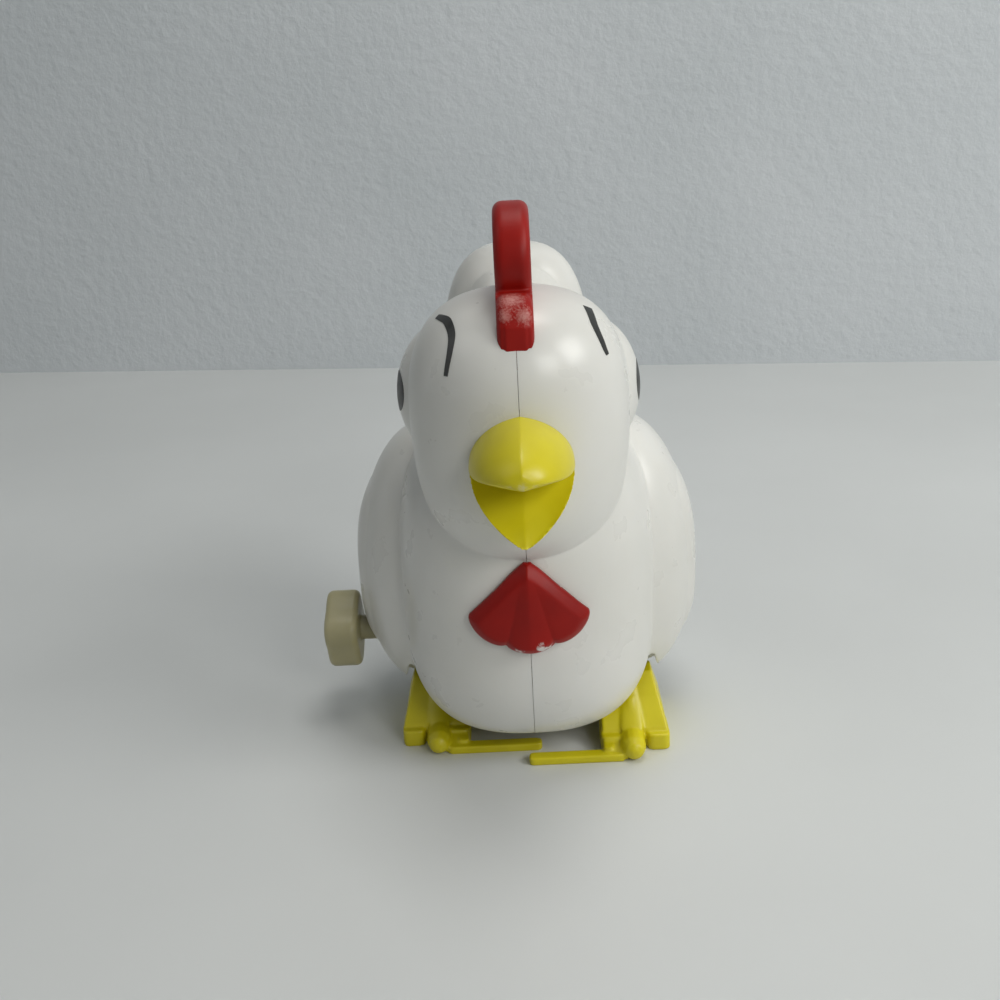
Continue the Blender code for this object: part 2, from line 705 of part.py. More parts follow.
def comb():
    """Lobes with rounded rims on a root that passes through the head wall."""
    half = COMB_THICKNESS / 2
    blade = comb_root(half, WALL + COMB_FOOT)
    for y, z, radius in COMB_LOBES:
        rim = [(-half, radius - COMB_EDGE), (-half + COMB_EDGE / 3, radius - COMB_EDGE / 3),
               (-half + COMB_EDGE, radius), (half - COMB_EDGE, radius),
               (half - COMB_EDGE / 3, radius - COMB_EDGE / 3), (half, radius - COMB_EDGE)]
        lobe = cut(turned(rim, (y, z), 2 * FEW), head_solid(FIT))
        join(blade, lobe)
    for start in (COMB_FRONT + COMB_FOOT_LENGTH, COMB_BACK - 2 * COMB_FOOT_LENGTH):
        join(blade, comb_foot(start))
    return blade


def mandible(stations, crest):
    """Loft from the face to the tip; each station is (y, half width, top, side, low).

    The back is an arch with a crest down its middle, and the underside is rounded.
    """
    rings = []
    for y, width, top, side, low in stations:
        ring = []
        for i in range(9):
            share = i / 4 - 1
            arch = (top - crest - side) * math.sqrt(1 - share**2)
            ring.append((-width * share, y, side + arch + crest * (1 - abs(share))))
        for i in range(1, 6):
            share = i / 3 - 1
            ring.append((width * share, y, side + (low - side) * (1 - share**2)))
        rings.append(ring)
    return skin(rings)


def beak_stations(tip_y, steps):
    """Places from inside the head to the tip, closer together near the tip."""
    face_y = egg_front(HEAD, 0.0, BEAK_GAPE_Z) + BEAK_LIP / 2
    yield face_y + 2 * WALL, 0.0
    for k in range(steps + 1):
        t = math.sin(math.pi / 2 * k / steps)
        yield face_y + (tip_y - face_y) * t, t


def beak_width(t, bulge):
    return BEAK_TIP_HALF_WIDTH + (BEAK_HALF_WIDTH - BEAK_TIP_HALF_WIDTH) * (1 - t**2) ** bulge


def upper_mandible():
    tip_y, tip_z = BEAK_UPPER_TIP
    stations = []
    for y, t in beak_stations(tip_y, 6):
        side = BEAK_GAPE_Z + (tip_z - BEAK_LIP) * t**2
        top = side + BEAK_LIP + (BEAK_UPPER_HEIGHT - BEAK_LIP) * (1 - t**2) ** 0.7
        stations.append((y, beak_width(t, 0.55), top, side, side - BEAK_LIP))
    return mandible(stations, BEAK_CREST)


def lower_mandible():
    tip_y, tip_z = BEAK_LOWER_TIP
    stations = []
    for y, t in beak_stations(tip_y, 5):
        side = BEAK_GAPE_Z - BEAK_LIP / 2 + tip_z * t
        low = BEAK_GAPE_Z - BEAK_LOWER_DEPTH * (1 - t) + (tip_z - BEAK_LIP) * t
        stations.append((y, beak_width(t, 0.9), side - BEAK_LIP / 3, side, low))
    return mandible(stations, 0.0)


def plug(egg, radius, z):
    """Round plug along Y through the body's front wall, with a collar inside it."""
    seat = egg_front(egg, 0.0, z, -WALL) + FIT
    collar = radius + PLUG_COLLAR
    profile = [(egg_front(egg, 0.0, z, WALL / 2), radius), (seat, radius), (seat, collar),
               (seat + PLUG_COLLAR, collar)]
    return turned(profile, (0.0, z), ROUND, axis="Y")


def plug_hole(egg, radius, z):
    """Stepped hole for a plug: through the wall, then wider where the collar seats."""
    start, seat = egg_front(egg, 0.0, z, 2 * WALL), egg_front(egg, 0.0, z, -WALL)
    wide = radius + PLUG_COLLAR + FIT
    profile = [(start, radius + FIT), (seat, radius + FIT), (seat, wide),
               (seat + 2 * WALL, wide)]
    return turned(profile, (0.0, z), ROUND, axis="Y")


def beak():
    both = join(upper_mandible(), lower_mandible())
    cut(both, head_solid(FIT))
    return join(both, plug(HEAD, BEAK_PLUG_RADIUS, BEAK_PLUG_Z))


def wattle(rays=19, rows=6):
    """Fan of rays from one top point, with flutes; its back follows the chest."""
    spread = math.radians(WATTLE_SPREAD)
    rings = []
    for i in range(rays):
        share = 2 * i / (rays - 1) - 1
        angle = spread * share
        lobe = abs(math.sin(math.pi * WATTLE_LOBES * i / (rays - 1))) ** 0.5
        length = (WATTLE_LENGTH + (WATTLE_CORNER_LENGTH - WATTLE_LENGTH) * share**2
                  - WATTLE_NOTCH * (1 - lobe))
        front, back = [], []
        for k in range(rows + 1):
            out = 0.05 + 0.95 * (k / rows) ** 0.8
            x, z = out * length * math.sin(angle), -out * length * math.cos(angle)
            edge = min((1 - out) * length, out * length * math.sin(spread - abs(angle)))
            soft = min(edge / WATTLE_EDGE, 1.0) ** 0.6
            stand = (WATTLE_THICKNESS * (0.35 + 0.65 * soft)
                     + soft * (WATTLE_RIDGE * (1 - abs(share)) - WATTLE_FLUTE * out * (1 - lobe)))
            y = egg_front(TORSO, x, WATTLE_TOP_Z + z, FIT)
            back.append((x, y, WATTLE_TOP_Z + z))
            front.append((x, y - stand, WATTLE_TOP_Z + z))
        rings.append(front + back[::-1])
    fan = cut(skin(rings), head_solid(FIT))
    return join(fan, plug(TORSO, WATTLE_PLUG_RADIUS, WATTLE_PLUG_Z))


def case_posts():
    """Corners of the motor case where a pin holds its two halves together."""
    inset = CASE_WALL + CASE_POST_INSET - CASE_POST_RADIUS
    return ((CASE_FRONT + inset, CASE_TOP - inset), (CASE_BACK - inset, CASE_TOP - inset),
            (CASE_BACK - inset, CASE_BOTTOM + inset))


def case_half(side):
    """Open box with a guide pin for one leg, corner posts and bearing holes."""
    wall = CASE_HALF_WIDTH - CASE_WALL
    half = plate(rounded_outline(CASE_FRONT, CASE_BACK, CASE_BOTTOM, CASE_TOP, CASE_CORNER),
                 *sorted((side * SEAM / 2, side * CASE_HALF_WIDTH)))
    cut(half, plate(rounded_outline(CASE_FRONT + CASE_WALL, CASE_BACK - CASE_WALL,
                                    CASE_BOTTOM + CASE_WALL, CASE_TOP - CASE_WALL,
                                    CASE_CORNER - CASE_WALL / 2),
                    *sorted((-side * wall, side * wall))))
    for post in case_posts():
        join(half, rod(CASE_POST_RADIUS, side * SEAM / 2, side * (wall + CASE_WALL / 2),
                       post, FEW))
        if side < 0:
            join(half, rod(CASE_PIN_RADIUS, -CASE_WALL, CASE_WALL, post, FEW))
        else:
            cut(half, rod(CASE_PIN_RADIUS + FIT, -CASE_WALL, CASE_WALL + FIT, post, FEW))
    join(half, rod(GUIDE_RADIUS, side * (wall + CASE_WALL / 2), side * PIN_END_X,
                   GUIDE_AXIS, FEW))
    holes = [(WINDING_AXIS, WINDING_SHAFT_RADIUS + RUN), (CRANK_AXIS, CRANK_SHAFT_RADIUS + RUN),
             (SECOND_AXIS, ARBOR_RADIUS + RUN), (STAR_AXIS, ARBOR_RADIUS + RUN)]
    if side > 0:
        holes.append((ROCKER_AXIS, ARBOR_RADIUS + FIT))
    for axis, radius in holes:
        cut(half, rod(radius, side * (wall - CASE_WALL), side * (CASE_HALF_WIDTH + WALL),
                      axis, FEW))
    return half


def spring_post():
    away = SPRING_OUTER + SPRING_STRIP / 2 + FIT + SPRING_POST_RADIUS
    return rod(SPRING_POST_RADIUS, -CASE_HALF_WIDTH + CASE_WALL / 2, -CASE_WALL,
               polar(WINDING_AXIS, away, SPRING_POST_BEARING), FEW)


def case_ear(peg, wall_y):
    """Ear on the left case half that a body peg passes through."""
    x0, x1 = SEAM / 2, SEAM / 2 + EAR_THICKNESS
    ear = rod(EAR_HALF_HEIGHT, x0, x1, peg, ROUND)
    join(ear, block(x0, x1, min(peg[0], wall_y), max(peg[0], wall_y),
                    peg[1] - EAR_HALF_HEIGHT, peg[1] - EAR_HALF_HEIGHT / 3))
    trim(ear, body_core(-WALL - FIT))
    return cut(ear, rod(PEG_RADIUS + FIT, -x1, 2 * x1, peg, FEW))


def gear(axis, teeth, towards, x0, x1):
    """Toothed wheel with one tooth on the bearing towards; a gap is half a pitch on."""
    tip = tip_radius(teeth)
    root = tip - TOOTH_RISE - TOOTH_FALL
    outline = []
    for i in range(teeth):
        middle = towards + 360 * i / teeth
        for radius, width, sign in ((root, TOOTH_ROOT, -1), (tip, TOOTH_TIP, -1),
                                    (tip, TOOTH_TIP, 1), (root, TOOTH_ROOT, 1)):
            half_angle = math.degrees(width / 2 / radius)
            outline.append(polar(axis, radius, middle + sign * half_angle))
    return plate(outline, x0, x1)


def mesh_bearing(axis, other, teeth):
    """Bearing that puts a gap of a pinion opposite a tooth of the wheel it meets."""
    return bearing(axis, other) + 180 / teeth


def great_wheel():
    wheel = gear(WINDING_AXIS, GREAT_TEETH, bearing(WINDING_AXIS, SECOND_AXIS),
                 GREAT_WHEEL_X, GREAT_WHEEL_X + WHEEL_THICKNESS)
    return cut(wheel, rod(WINDING_SHAFT_RADIUS + FIT, -OUTSIDE, OUTSIDE, WINDING_AXIS))


def wheel_and_pinion(axis, wheel, pinion, shaft_radius):
    """One moulding of a wheel and a pinion; each is (teeth, bearing, x0, x1)."""
    both = join(gear(axis, *wheel), gear(axis, *pinion))
    return cut(both, rod(shaft_radius + FIT, -OUTSIDE, OUTSIDE, axis))


def second_wheel():
    end = SECOND_WHEEL_X + WHEEL_THICKNESS
    wheel = (SECOND_WHEEL_TEETH, bearing(SECOND_AXIS, CRANK_AXIS), SECOND_WHEEL_X, end)
    pinion = (SECOND_PINION_TEETH,
              mesh_bearing(SECOND_AXIS, WINDING_AXIS, SECOND_PINION_TEETH),
              GREAT_WHEEL_X, SECOND_WHEEL_X + WHEEL_THICKNESS / 2)
    return wheel_and_pinion(SECOND_AXIS, wheel, pinion, ARBOR_RADIUS)


def crank_wheel():
    end = CRANK_WHEEL_X + WHEEL_THICKNESS
    wheel = (CRANK_WHEEL_TEETH, bearing(CRANK_AXIS, STAR_AXIS), CRANK_WHEEL_X, end)
    pinion = (CRANK_PINION_TEETH, mesh_bearing(CRANK_AXIS, SECOND_AXIS, CRANK_PINION_TEETH),
              SECOND_WHEEL_X, CRANK_WHEEL_X + WHEEL_THICKNESS / 2)
    return wheel_and_pinion(CRANK_AXIS, wheel, pinion, CRANK_SHAFT_RADIUS)


def star_wheel():
    """Pinion with a pointed wheel that knocks the rocker to and fro."""
    outline = []
    for i in range(2 * STAR_POINTS):
        radius = STAR_RADIUS if i % 2 == 0 else STAR_RADIUS - STAR_DEPTH
        outline.append(polar(STAR_AXIS, radius, ROCKER_BEARING + 180 * i / STAR_POINTS))
    star = plate(outline, SECOND_WHEEL_X, SECOND_WHEEL_X + WHEEL_THICKNESS)
    pinion = gear(STAR_AXIS, STAR_PINION_TEETH,
                  mesh_bearing(STAR_AXIS, CRANK_AXIS, STAR_PINION_TEETH),
                  SECOND_WHEEL_X + WHEEL_THICKNESS / 2, CRANK_WHEEL_X + WHEEL_THICKNESS)
    return cut(join(star, pinion), rod(ARBOR_RADIUS + FIT, -OUTSIDE, OUTSIDE, STAR_AXIS, FEW))


def rocker():
    """Two pallets that straddle the star wheel, and a weight behind their hub."""
    x0, x1 = SECOND_WHEEL_X, SECOND_WHEEL_X + WHEEL_THICKNESS
    body = rod(ROCKER_HUB, x0, x1, ROCKER_AXIS, ROUND)
    away = STAR_RADIUS + PALLET_GAP + PALLET_RADIUS
    for sign in (-1, 1):
        pallet = polar(STAR_AXIS, away, ROCKER_BEARING + sign * PALLET_BEARING)
        join(body, bar(ROCKER_AXIS, pallet, ROCKER_ARM, x0, x1),
             rod(PALLET_RADIUS, x0, x1, pallet, FEW))
    tail = (ROCKER_AXIS[0] + WEIGHT_LENGTH, ROCKER_AXIS[1])
    join(body, bar(ROCKER_AXIS, tail, ROCKER_HUB / 2, x0, x1),
         bar((tail[0] - WEIGHT_LENGTH / 2, tail[1]), tail, WEIGHT_HALF_HEIGHT, x0, x1))
    return cut(body, rod(ARBOR_RADIUS + RUN, -OUTSIDE, OUTSIDE, ROCKER_AXIS, FEW))


def mainspring():
    """Flat strip wound round the winding shaft, with its outer end at its post."""
    inner = WINDING_SHAFT_RADIUS + FIT + SPRING_STRIP
    steps = SPRING_TURNS * SPRING_STEPS
    start = -CASE_HALF_WIDTH + CASE_WALL + WHEEL_GAP
    rings = []
    for i in range(steps + 1):
        turn = SPRING_POST_BEARING - 360 * (steps - i) / SPRING_STEPS
        radius = inner + (SPRING_OUTER - inner) * i / steps
        inside = polar(WINDING_AXIS, radius - SPRING_STRIP / 2, turn)
        outside = polar(WINDING_AXIS, radius + SPRING_STRIP / 2, turn)
        rings.append([(start, *inside), (start + SPRING_WIDTH, *inside),
                      (start + SPRING_WIDTH, *outside), (start, *outside)])
    return skin(rings)


def crank_pin(side):
    """Place of a crank pin at rest: the left one in front, the right one behind."""
    return (CRANK_AXIS[0] - side * CRANK_THROW, CRANK_AXIS[1])


def crank_disc(side):
    radius = CRANK_THROW + CRANK_PIN_RADIUS + CRANK_DISC_RIM
    start, end = CRANK_DISC_X, CRANK_DISC_X + CRANK_DISC_THICKNESS
    disc = rod(radius, side * start, side * end, CRANK_AXIS, 2 * FEW)
    join(disc, rod(CRANK_PIN_RADIUS, side * (start + end) / 2, side * PIN_END_X,
                   crank_pin(side)))
    return cut(disc, rod(CRANK_SHAFT_RADIUS + FIT, 0.0, side * (end - CRANK_DISC_RIM / 2),
                         CRANK_AXIS, FEW))


def leg_plate():
    """Upper leg, round the crank pin's hole, with a window for the guide pin."""
    x0, x1 = LEG_PLATE_X, LEG_PLATE_X + LEG_PLATE_THICKNESS
    boss = CRANK_PIN_RADIUS + RUN + LEG_BOSS_RIM
    ankle = ANKLE_HEIGHT - CRANK_AXIS[1]
    solid = rod(boss, x0, x1)
    join(solid, rod(LEG_EYE_RADIUS, x0, x1, (0.0, GUIDE_RISE), 2 * FEW),
         bar((0.0, GUIDE_RISE), (0.0, -boss / 2), 0.95 * boss, x0, x1),
         plate([(-0.9 * boss, -boss / 3), (BOOT_SHOULDER[0], ankle), (BOOT_TOP_BACK, ankle),
                (0.9 * boss, -boss / 3)], x0, x1))
    return cut(solid, rod(CRANK_PIN_RADIUS + RUN, 0.0, OUTSIDE),
               rod(WINDOW_RADIUS, 0.0, OUTSIDE, (0.0, GUIDE_RISE), 2 * FEW))


def toe_block(inner, outer, front, back, height, radius):
    """Upright block with round corners; it starts below the sole, which is cut flat."""
    floor = -CRANK_AXIS[1]
    outline = rounded_outline(inner, outer, front, back, radius)
    return skin([[(x, y, floor - FREE) for x, y in outline],
                 [(x, y, floor + height) for x, y in outline]])


def middle_toe():
    """Round toe whose ridge leans back up the front of the boot."""
    floor, r = -CRANK_AXIS[1], MIDDLE_TOE_RADIUS
    middle = floor + 0.9 * r
    nose = [(MIDDLE_TOE_FRONT + r * back, r * share)
            for back, share in ((0.03, 0.25), (0.3, 0.72), (1.0, 1.0))]
    toe = turned(nose + [(0.0, r)], (MIDDLE_TOE_X, middle), ROUND, axis="Y")
    ridge = []
    for front, z, radius in ((BOOT_FRONT, middle, 0.9 * r),
                             (BOOT_FRONT, floor + ANKLE_HEIGHT, 0.9 * r),
                             (BOOT_INSTEP[0], floor + BOOT_INSTEP[1], 0.6 * r)):
        centre = (MIDDLE_TOE_X, front - TOE_RIDGE + radius)
        ridge.append([(*polar(centre, radius, 360 * i / FEW), z) for i in range(FEW)])
    return join(toe, skin(ridge))


def boot():
    """Lower leg and foot: three toes in front, the inner one long, and a heel."""
    floor = -CRANK_AXIS[1]
    solid = plate(boot_profile(), BOOT_INNER_X, BOOT_OUTER_X + FREE)
    trim(solid, across_y(boot_cheek() + [(0.0, floor + 2 * BOOT_SHOULDER[1]),
                                         (0.0, floor - OUTSIDE)]))
    inner = BOOT_INNER_X - SIDE_TOE_STEP
    outer = BOOT_OUTER_X + SIDE_TOE_STEP
    bar_back = INNER_TOE_FRONT + INNER_TOE_DEPTH
    middle = (BOOT_INNER_X + BOOT_OUTER_X) / 2
    join(solid, middle_toe(),
         toe_block(inner, inner + SIDE_TOE_WIDTH, SIDE_TOE_FRONT, 0.0, SIDE_TOE_HEIGHT,
                   SIDE_TOE_WIDTH / 4),
         toe_block(outer - SIDE_TOE_WIDTH, outer, SIDE_TOE_FRONT, 0.0, SIDE_TOE_HEIGHT,
                   SIDE_TOE_WIDTH / 4),
         toe_block(-INNER_TOE_PAST_MIDDLE, inner + SIDE_TOE_WIDTH, INNER_TOE_FRONT, bar_back,
                   INNER_TOE_HEIGHT, INNER_TOE_DEPTH / 3),
         toe_block(BOOT_INNER_X, inner + SIDE_TOE_WIDTH / 2, bar_back - INNER_TOE_DEPTH / 2,
                   SIDE_TOE_FRONT + BOOT_CORNER, (INNER_TOE_HEIGHT + SIDE_TOE_HEIGHT) / 2,
                   BOOT_CORNER / 3),
         toe_block(middle - HEEL_HALF_WIDTH, middle + HEEL_HALF_WIDTH, 0.0, HEEL_BACK,
                   HEEL_HEIGHT, HEEL_HALF_WIDTH / 2))
    return cut(solid, block(-OUTSIDE, OUTSIDE, -OUTSIDE, OUTSIDE, floor - OUTSIDE, floor))


def leg(side):
    """Leg built round its crank pin; the right one is the mirror image."""
    solid = join(boot(), leg_plate())
    if side < 0:
        mirrored(solid)
    y, z = crank_pin(side)
    solid.data.transform(Matrix.Translation((0.0, y, z)))
    return solid


def clip(side):
    """Push-on washer that keeps a leg on its crank pin."""
    return tube(CLIP_RADIUS, CRANK_PIN_RADIUS + FIT, side * CLIP_X,
                side * (CLIP_X + CLIP_THICKNESS), crank_pin(side), ROUND)


def knob():
    """Lobed grip with a dished face, and a boss that reaches into the body."""
    inner, outer = -KNOB_INNER_X, -KNOB_INNER_X - KNOB_THICKNESS
    rings = []
    for x, inset in ((inner, KNOB_EDGE), (inner - KNOB_EDGE, 0.0), (outer + KNOB_EDGE, 0.0),
                     (outer, KNOB_EDGE), (outer, KNOB_RIM + KNOB_EDGE),
                     (outer + KNOB_DISH, KNOB_RIM + 2 * KNOB_EDGE)):
        ring = []
        for i in range(8 * KNOB_LOBES):
            turn = 360 * i / (8 * KNOB_LOBES)
            wave = KNOB_LOBE_DEPTH / 2 * (math.cos(math.radians(turn * KNOB_LOBES)) - 1)
            ring.append((x, *polar(WINDING_AXIS, KNOB_RADIUS - inset + wave,
                                   turn + KNOB_LOBE_BEARING)))
        rings.append(ring)
    grip = join(skin(rings), rod(KNOB_BOSS_RADIUS, inner - KNOB_EDGE, inner + KNOB_BOSS_LENGTH,
                                 WINDING_AXIS))
    return cut(grip, rod(WINDING_SHAFT_RADIUS + FIT, outer + KNOB_DISH + KNOB_FLOOR, 0.0,
                         WINDING_AXIS, ROUND))


def build_body():
    shell = cut(body_outside(), body_core(-WALL))
    cut_opening(shell)
    cut(shell, comb_root(COMB_THICKNESS / 2 + FIT, 2 * WALL, FIT),
        plug_hole(HEAD, BEAK_PLUG_RADIUS, BEAK_PLUG_Z),
        plug_hole(TORSO, WATTLE_PLUG_RADIUS, WATTLE_PLUG_Z))
    right, left = body_half(shell, -1), body_half(shell, 1)
    bpy.data.objects.remove(shell)
    add_pegs(right, left)
    cut(right, rod(KNOB_BOSS_RADIUS + RUN, -KNOB_INNER_X - WALL, -WING_X, WINDING_AXIS))
    finish(right, "body_half_right", WHITE)
    finish(left, "body_half_left", WHITE)
    finish(comb(), "comb", RED)
    finish(beak(), "beak", YELLOW)
    finish(wattle(), "wattle", RED)


def build_motor():
    winding, crank = (0.0, *WINDING_AXIS), (0.0, *CRANK_AXIS)
    second, star, swing = (0.0, *SECOND_AXIS), (0.0, *STAR_AXIS), (0.0, *ROCKER_AXIS)
    right = join(case_half(-1), spring_post())
    left = join(case_half(1), case_ear(CHEST_PEG, CASE_FRONT + CASE_WALL / 2),
                case_ear(BACK_PEG, CASE_BACK - CASE_WALL / 2))
    finish(right, "case_half_right", IVORY)
    finish(left, "case_half_left", IVORY)
    finish(mainspring(), "mainspring", STEEL, winding)
    knob_seat = -KNOB_INNER_X - KNOB_THICKNESS + KNOB_DISH + KNOB_FLOOR + FIT
    finish(rod(WINDING_SHAFT_RADIUS, knob_seat, CASE_HALF_WIDTH, WINDING_AXIS),
           "winding_shaft", STEEL, winding)
    finish(great_wheel(), "great_wheel", ACETAL, winding)
    finish(knob(), "knob", IVORY, winding)
    finish(second_wheel(), "second_wheel", ACETAL, second)
    finish(crank_wheel(), "crank_wheel", ACETAL, crank)
    finish(star_wheel(), "star_wheel", ACETAL, star)
    finish(rocker(), "rocker", ACETAL, swing)
    stub = GREAT_WHEEL_X + WHEEL_THICKNESS + RUN
    for name, at, start in (("second_arbor", second, -CASE_HALF_WIDTH),
                            ("star_arbor", star, -CASE_HALF_WIDTH),
                            ("rocker_arbor", swing, stub)):
        finish(rod(ARBOR_RADIUS, start, CASE_HALF_WIDTH, at[1:], FEW), name, STEEL, at)
    shaft_end = CRANK_DISC_X + CRANK_DISC_THICKNESS - CRANK_DISC_RIM / 2 - FIT
    finish(rod(CRANK_SHAFT_RADIUS, -shaft_end, shaft_end, CRANK_AXIS), "crank_shaft",
           STEEL, crank)


def build_legs():
    crank = (0.0, *CRANK_AXIS)
    for side, name in ((-1, "right"), (1, "left")):
        finish(crank_disc(side), f"crank_disc_{name}", ACETAL, crank)
        finish(leg(side), f"leg_{name}", YELLOW, (0.0, *crank_pin(side)))
        finish(clip(side), f"leg_clip_{name}", STEEL, crank)


for old in list(bpy.data.objects):
    bpy.data.objects.remove(old)
toy = bpy.data.objects.new("toy", None)
toy.location = (MID_PLANE_X, 0.0, 0.0)
bpy.context.collection.objects.link(toy)
build_body()
build_motor()
build_legs()
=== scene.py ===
import math

import bmesh
import bpy
from mathutils import Matrix, Vector
from mathutils.bvhtree import BVHTree


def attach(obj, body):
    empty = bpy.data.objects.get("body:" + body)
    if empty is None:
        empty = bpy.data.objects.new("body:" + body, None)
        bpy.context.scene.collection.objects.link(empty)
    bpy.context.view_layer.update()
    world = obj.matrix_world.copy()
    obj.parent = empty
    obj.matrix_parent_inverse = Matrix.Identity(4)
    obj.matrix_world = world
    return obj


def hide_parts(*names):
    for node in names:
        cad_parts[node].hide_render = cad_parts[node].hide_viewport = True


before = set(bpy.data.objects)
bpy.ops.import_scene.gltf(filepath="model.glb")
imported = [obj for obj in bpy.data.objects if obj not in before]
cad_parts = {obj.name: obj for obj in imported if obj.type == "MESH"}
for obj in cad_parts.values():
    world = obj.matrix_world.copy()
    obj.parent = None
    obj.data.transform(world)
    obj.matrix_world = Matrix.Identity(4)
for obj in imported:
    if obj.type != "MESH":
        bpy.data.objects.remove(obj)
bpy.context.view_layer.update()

# Camera: a phone held level with the head, looking down a little from close by.
# Its place and lens put the comb, beak, wattle, knob and feet where the photograph
# has them.
MM = 0.001
MID_X = 3.0 * MM

eye_height = 40.0 * MM
eye_distance = 175.07 * MM
eye_down = math.radians(18.99)
eye_turn = math.radians(0.19)
eye_roll = math.atan(0.0478)
image_side, focal_length = 1000, 1204.9  # in pixels of the photograph
view_centre = (522.66, 468.87)
camera_data = bpy.data.cameras.new("camera")
camera_data.sensor_width = 36.0
camera_data.lens = focal_length * camera_data.sensor_width / image_side
camera_data.shift_x = (image_side / 2 - view_centre[0]) / image_side
camera_data.shift_y = (view_centre[1] - image_side / 2) / image_side
camera_data.clip_start = 0.01
camera = bpy.data.objects.new("camera", camera_data)
level = eye_distance * math.cos(eye_down)
camera.matrix_world = (
    Matrix.Translation((MID_X + level * math.sin(eye_turn), -level * math.cos(eye_turn),
                        eye_height + eye_distance * math.sin(eye_down)))
    @ Matrix.Rotation(eye_turn, 4, "Z")
    @ Matrix.Rotation(math.pi / 2 - eye_down, 4, "X")
    @ Matrix.Rotation(-eye_roll, 4, "Z"))
bpy.context.collection.objects.link(camera)
bpy.context.scene.camera = camera


# Table top and wall: a pale laminate board and a rolled emulsion wall behind it.
# The board is smooth with faint smudges, and the wall shows the roller's stipple.
def tone(code):
    """sRGB hex colour as linear RGBA."""
    values = [int(code[i:i + 2], 16) / 255 for i in (0, 2, 4)]
    return (*(v / 12.92 if v <= 0.04045 else ((v + 0.055) / 1.055) ** 2.4 for v in values), 1.0)


def node(tree, kind, settings=None, **feeds):
    """Add a node; a feed is a value or a socket, named for its input, or i and its number."""
    made = tree.nodes.new(kind)
    for key, value in (settings or {}).items():
        setattr(made, key, value)
    for key, value in feeds.items():
        key = int(key[1:]) if key[1:].isdigit() else key.replace("_", " ")
        target = made.inputs[key]
        if isinstance(value, bpy.types.NodeSocket):
            tree.links.new(value, target)
        else:
            target.default_value = value
    return made


def ramp(tree, factor, *stops):
    """Colour ramp over (place, colour) stops."""
    made = node(tree, "ShaderNodeValToRGB", Fac=factor)
    line = made.color_ramp
    while len(line.elements) < len(stops):
        line.elements.new(0.5)
    for element, (place, colour) in zip(line.elements, stops):
        element.position = place
        element.color = colour
    return made.outputs["Color"]


def finish_of(name, **inputs):
    """Material with its own Principled shader; returns material, tree, shader, place."""
    made = bpy.data.materials.new(name)
    made.use_nodes = True
    tree = made.node_tree
    shader = tree.nodes["Principled BSDF"]
    for key, value in inputs.items():
        shader.inputs[key.replace("_", " ")].default_value = value
    place = node(tree, "ShaderNodeTexCoord").outputs["Object"]
    return made, tree, shader, place


def link(tree, source, shader, target):
    tree.links.new(source, shader.inputs[target])


def grey(value):
    return (value, value, value, 1.0)


laminate, tree, shader, place = finish_of("white_laminate", Roughness=0.42)
cloud = node(tree, "ShaderNodeTexNoise", Vector=place, Scale=9.0, Detail=4.0).outputs["Fac"]
link(tree, ramp(tree, cloud, (0.35, tone("D0D2D1")), (0.65, tone("D7D9D8"))), shader, "Base Color")
grain = node(tree, "ShaderNodeTexNoise", Vector=place, Scale=900.0, Detail=3.0).outputs["Fac"]
bump = node(tree, "ShaderNodeBump", Height=grain, Strength=0.03, Distance=0.0003)
link(tree, bump.outputs["Normal"], shader, "Normal")

plaster, tree, shader, place = finish_of("rolled_emulsion", Roughness=0.75)
stipple = node(tree, "ShaderNodeTexNoise", Vector=place, Scale=260.0, Detail=5.0,
               Roughness=0.62).outputs["Fac"]
patches = node(tree, "ShaderNodeTexNoise", Vector=place, Scale=14.0, Detail=3.0).outputs["Fac"]
link(tree, ramp(tree, patches, (0.3, tone("CACFD2")), (0.7, tone("D3D7DA"))), shader, "Base Color")
bump = node(tree, "ShaderNodeBump", Height=stipple, Strength=0.40, Distance=0.0014)
link(tree, bump.outputs["Normal"], shader, "Normal")


def board(name, corners, material):
    mesh = bpy.data.meshes.new(name)
    mesh.from_pydata(corners, [], [(0, 1, 2, 3)])
    mesh.materials.append(material)
    made = bpy.data.objects.new(name, mesh)
    bpy.context.collection.objects.link(made)


wall_y, wall_lean = 0.220, -0.142
left, right, near, high = -0.7, 0.7, -0.6, 0.7
foot_left = (left, wall_y + wall_lean * left, 0.0)
foot_right = (right, wall_y + wall_lean * right, 0.0)
board("table_top", [(left, near, 0.0), (right, near, 0.0), foot_right, foot_left], laminate)
board("wall", [foot_left, foot_right, (*foot_right[:2], high), (*foot_left[:2], high)], plaster)


# Light: two panes of a window to the right and front right, which throw the toy's shadow
# to the left and behind it, a ceiling lamp, the light that a wall on the left throws
# back, and a pale room, which is weak as a lamp and shows in views and reflections.
def lamp(name, distance, bearing, height, size, power, colour):
    """Square lamp aimed at the toy; bearing in degrees to its left from straight ahead."""
    data = bpy.data.lights.new(name, "AREA")
    data.size = size
    data.energy = power
    data.color = tone(colour)[:3]
    turn, rise = math.radians(bearing), math.radians(height)
    aim = Vector((MID_X, 0.0, 0.03))
    made = bpy.data.objects.new(name, data)
    made.location = aim + distance * Vector((math.sin(turn) * math.cos(rise),
                                             -math.cos(turn) * math.cos(rise), math.sin(rise)))
    made.rotation_euler = (aim - made.location).to_track_quat("-Z", "Y").to_euler()
    bpy.context.collection.objects.link(made)


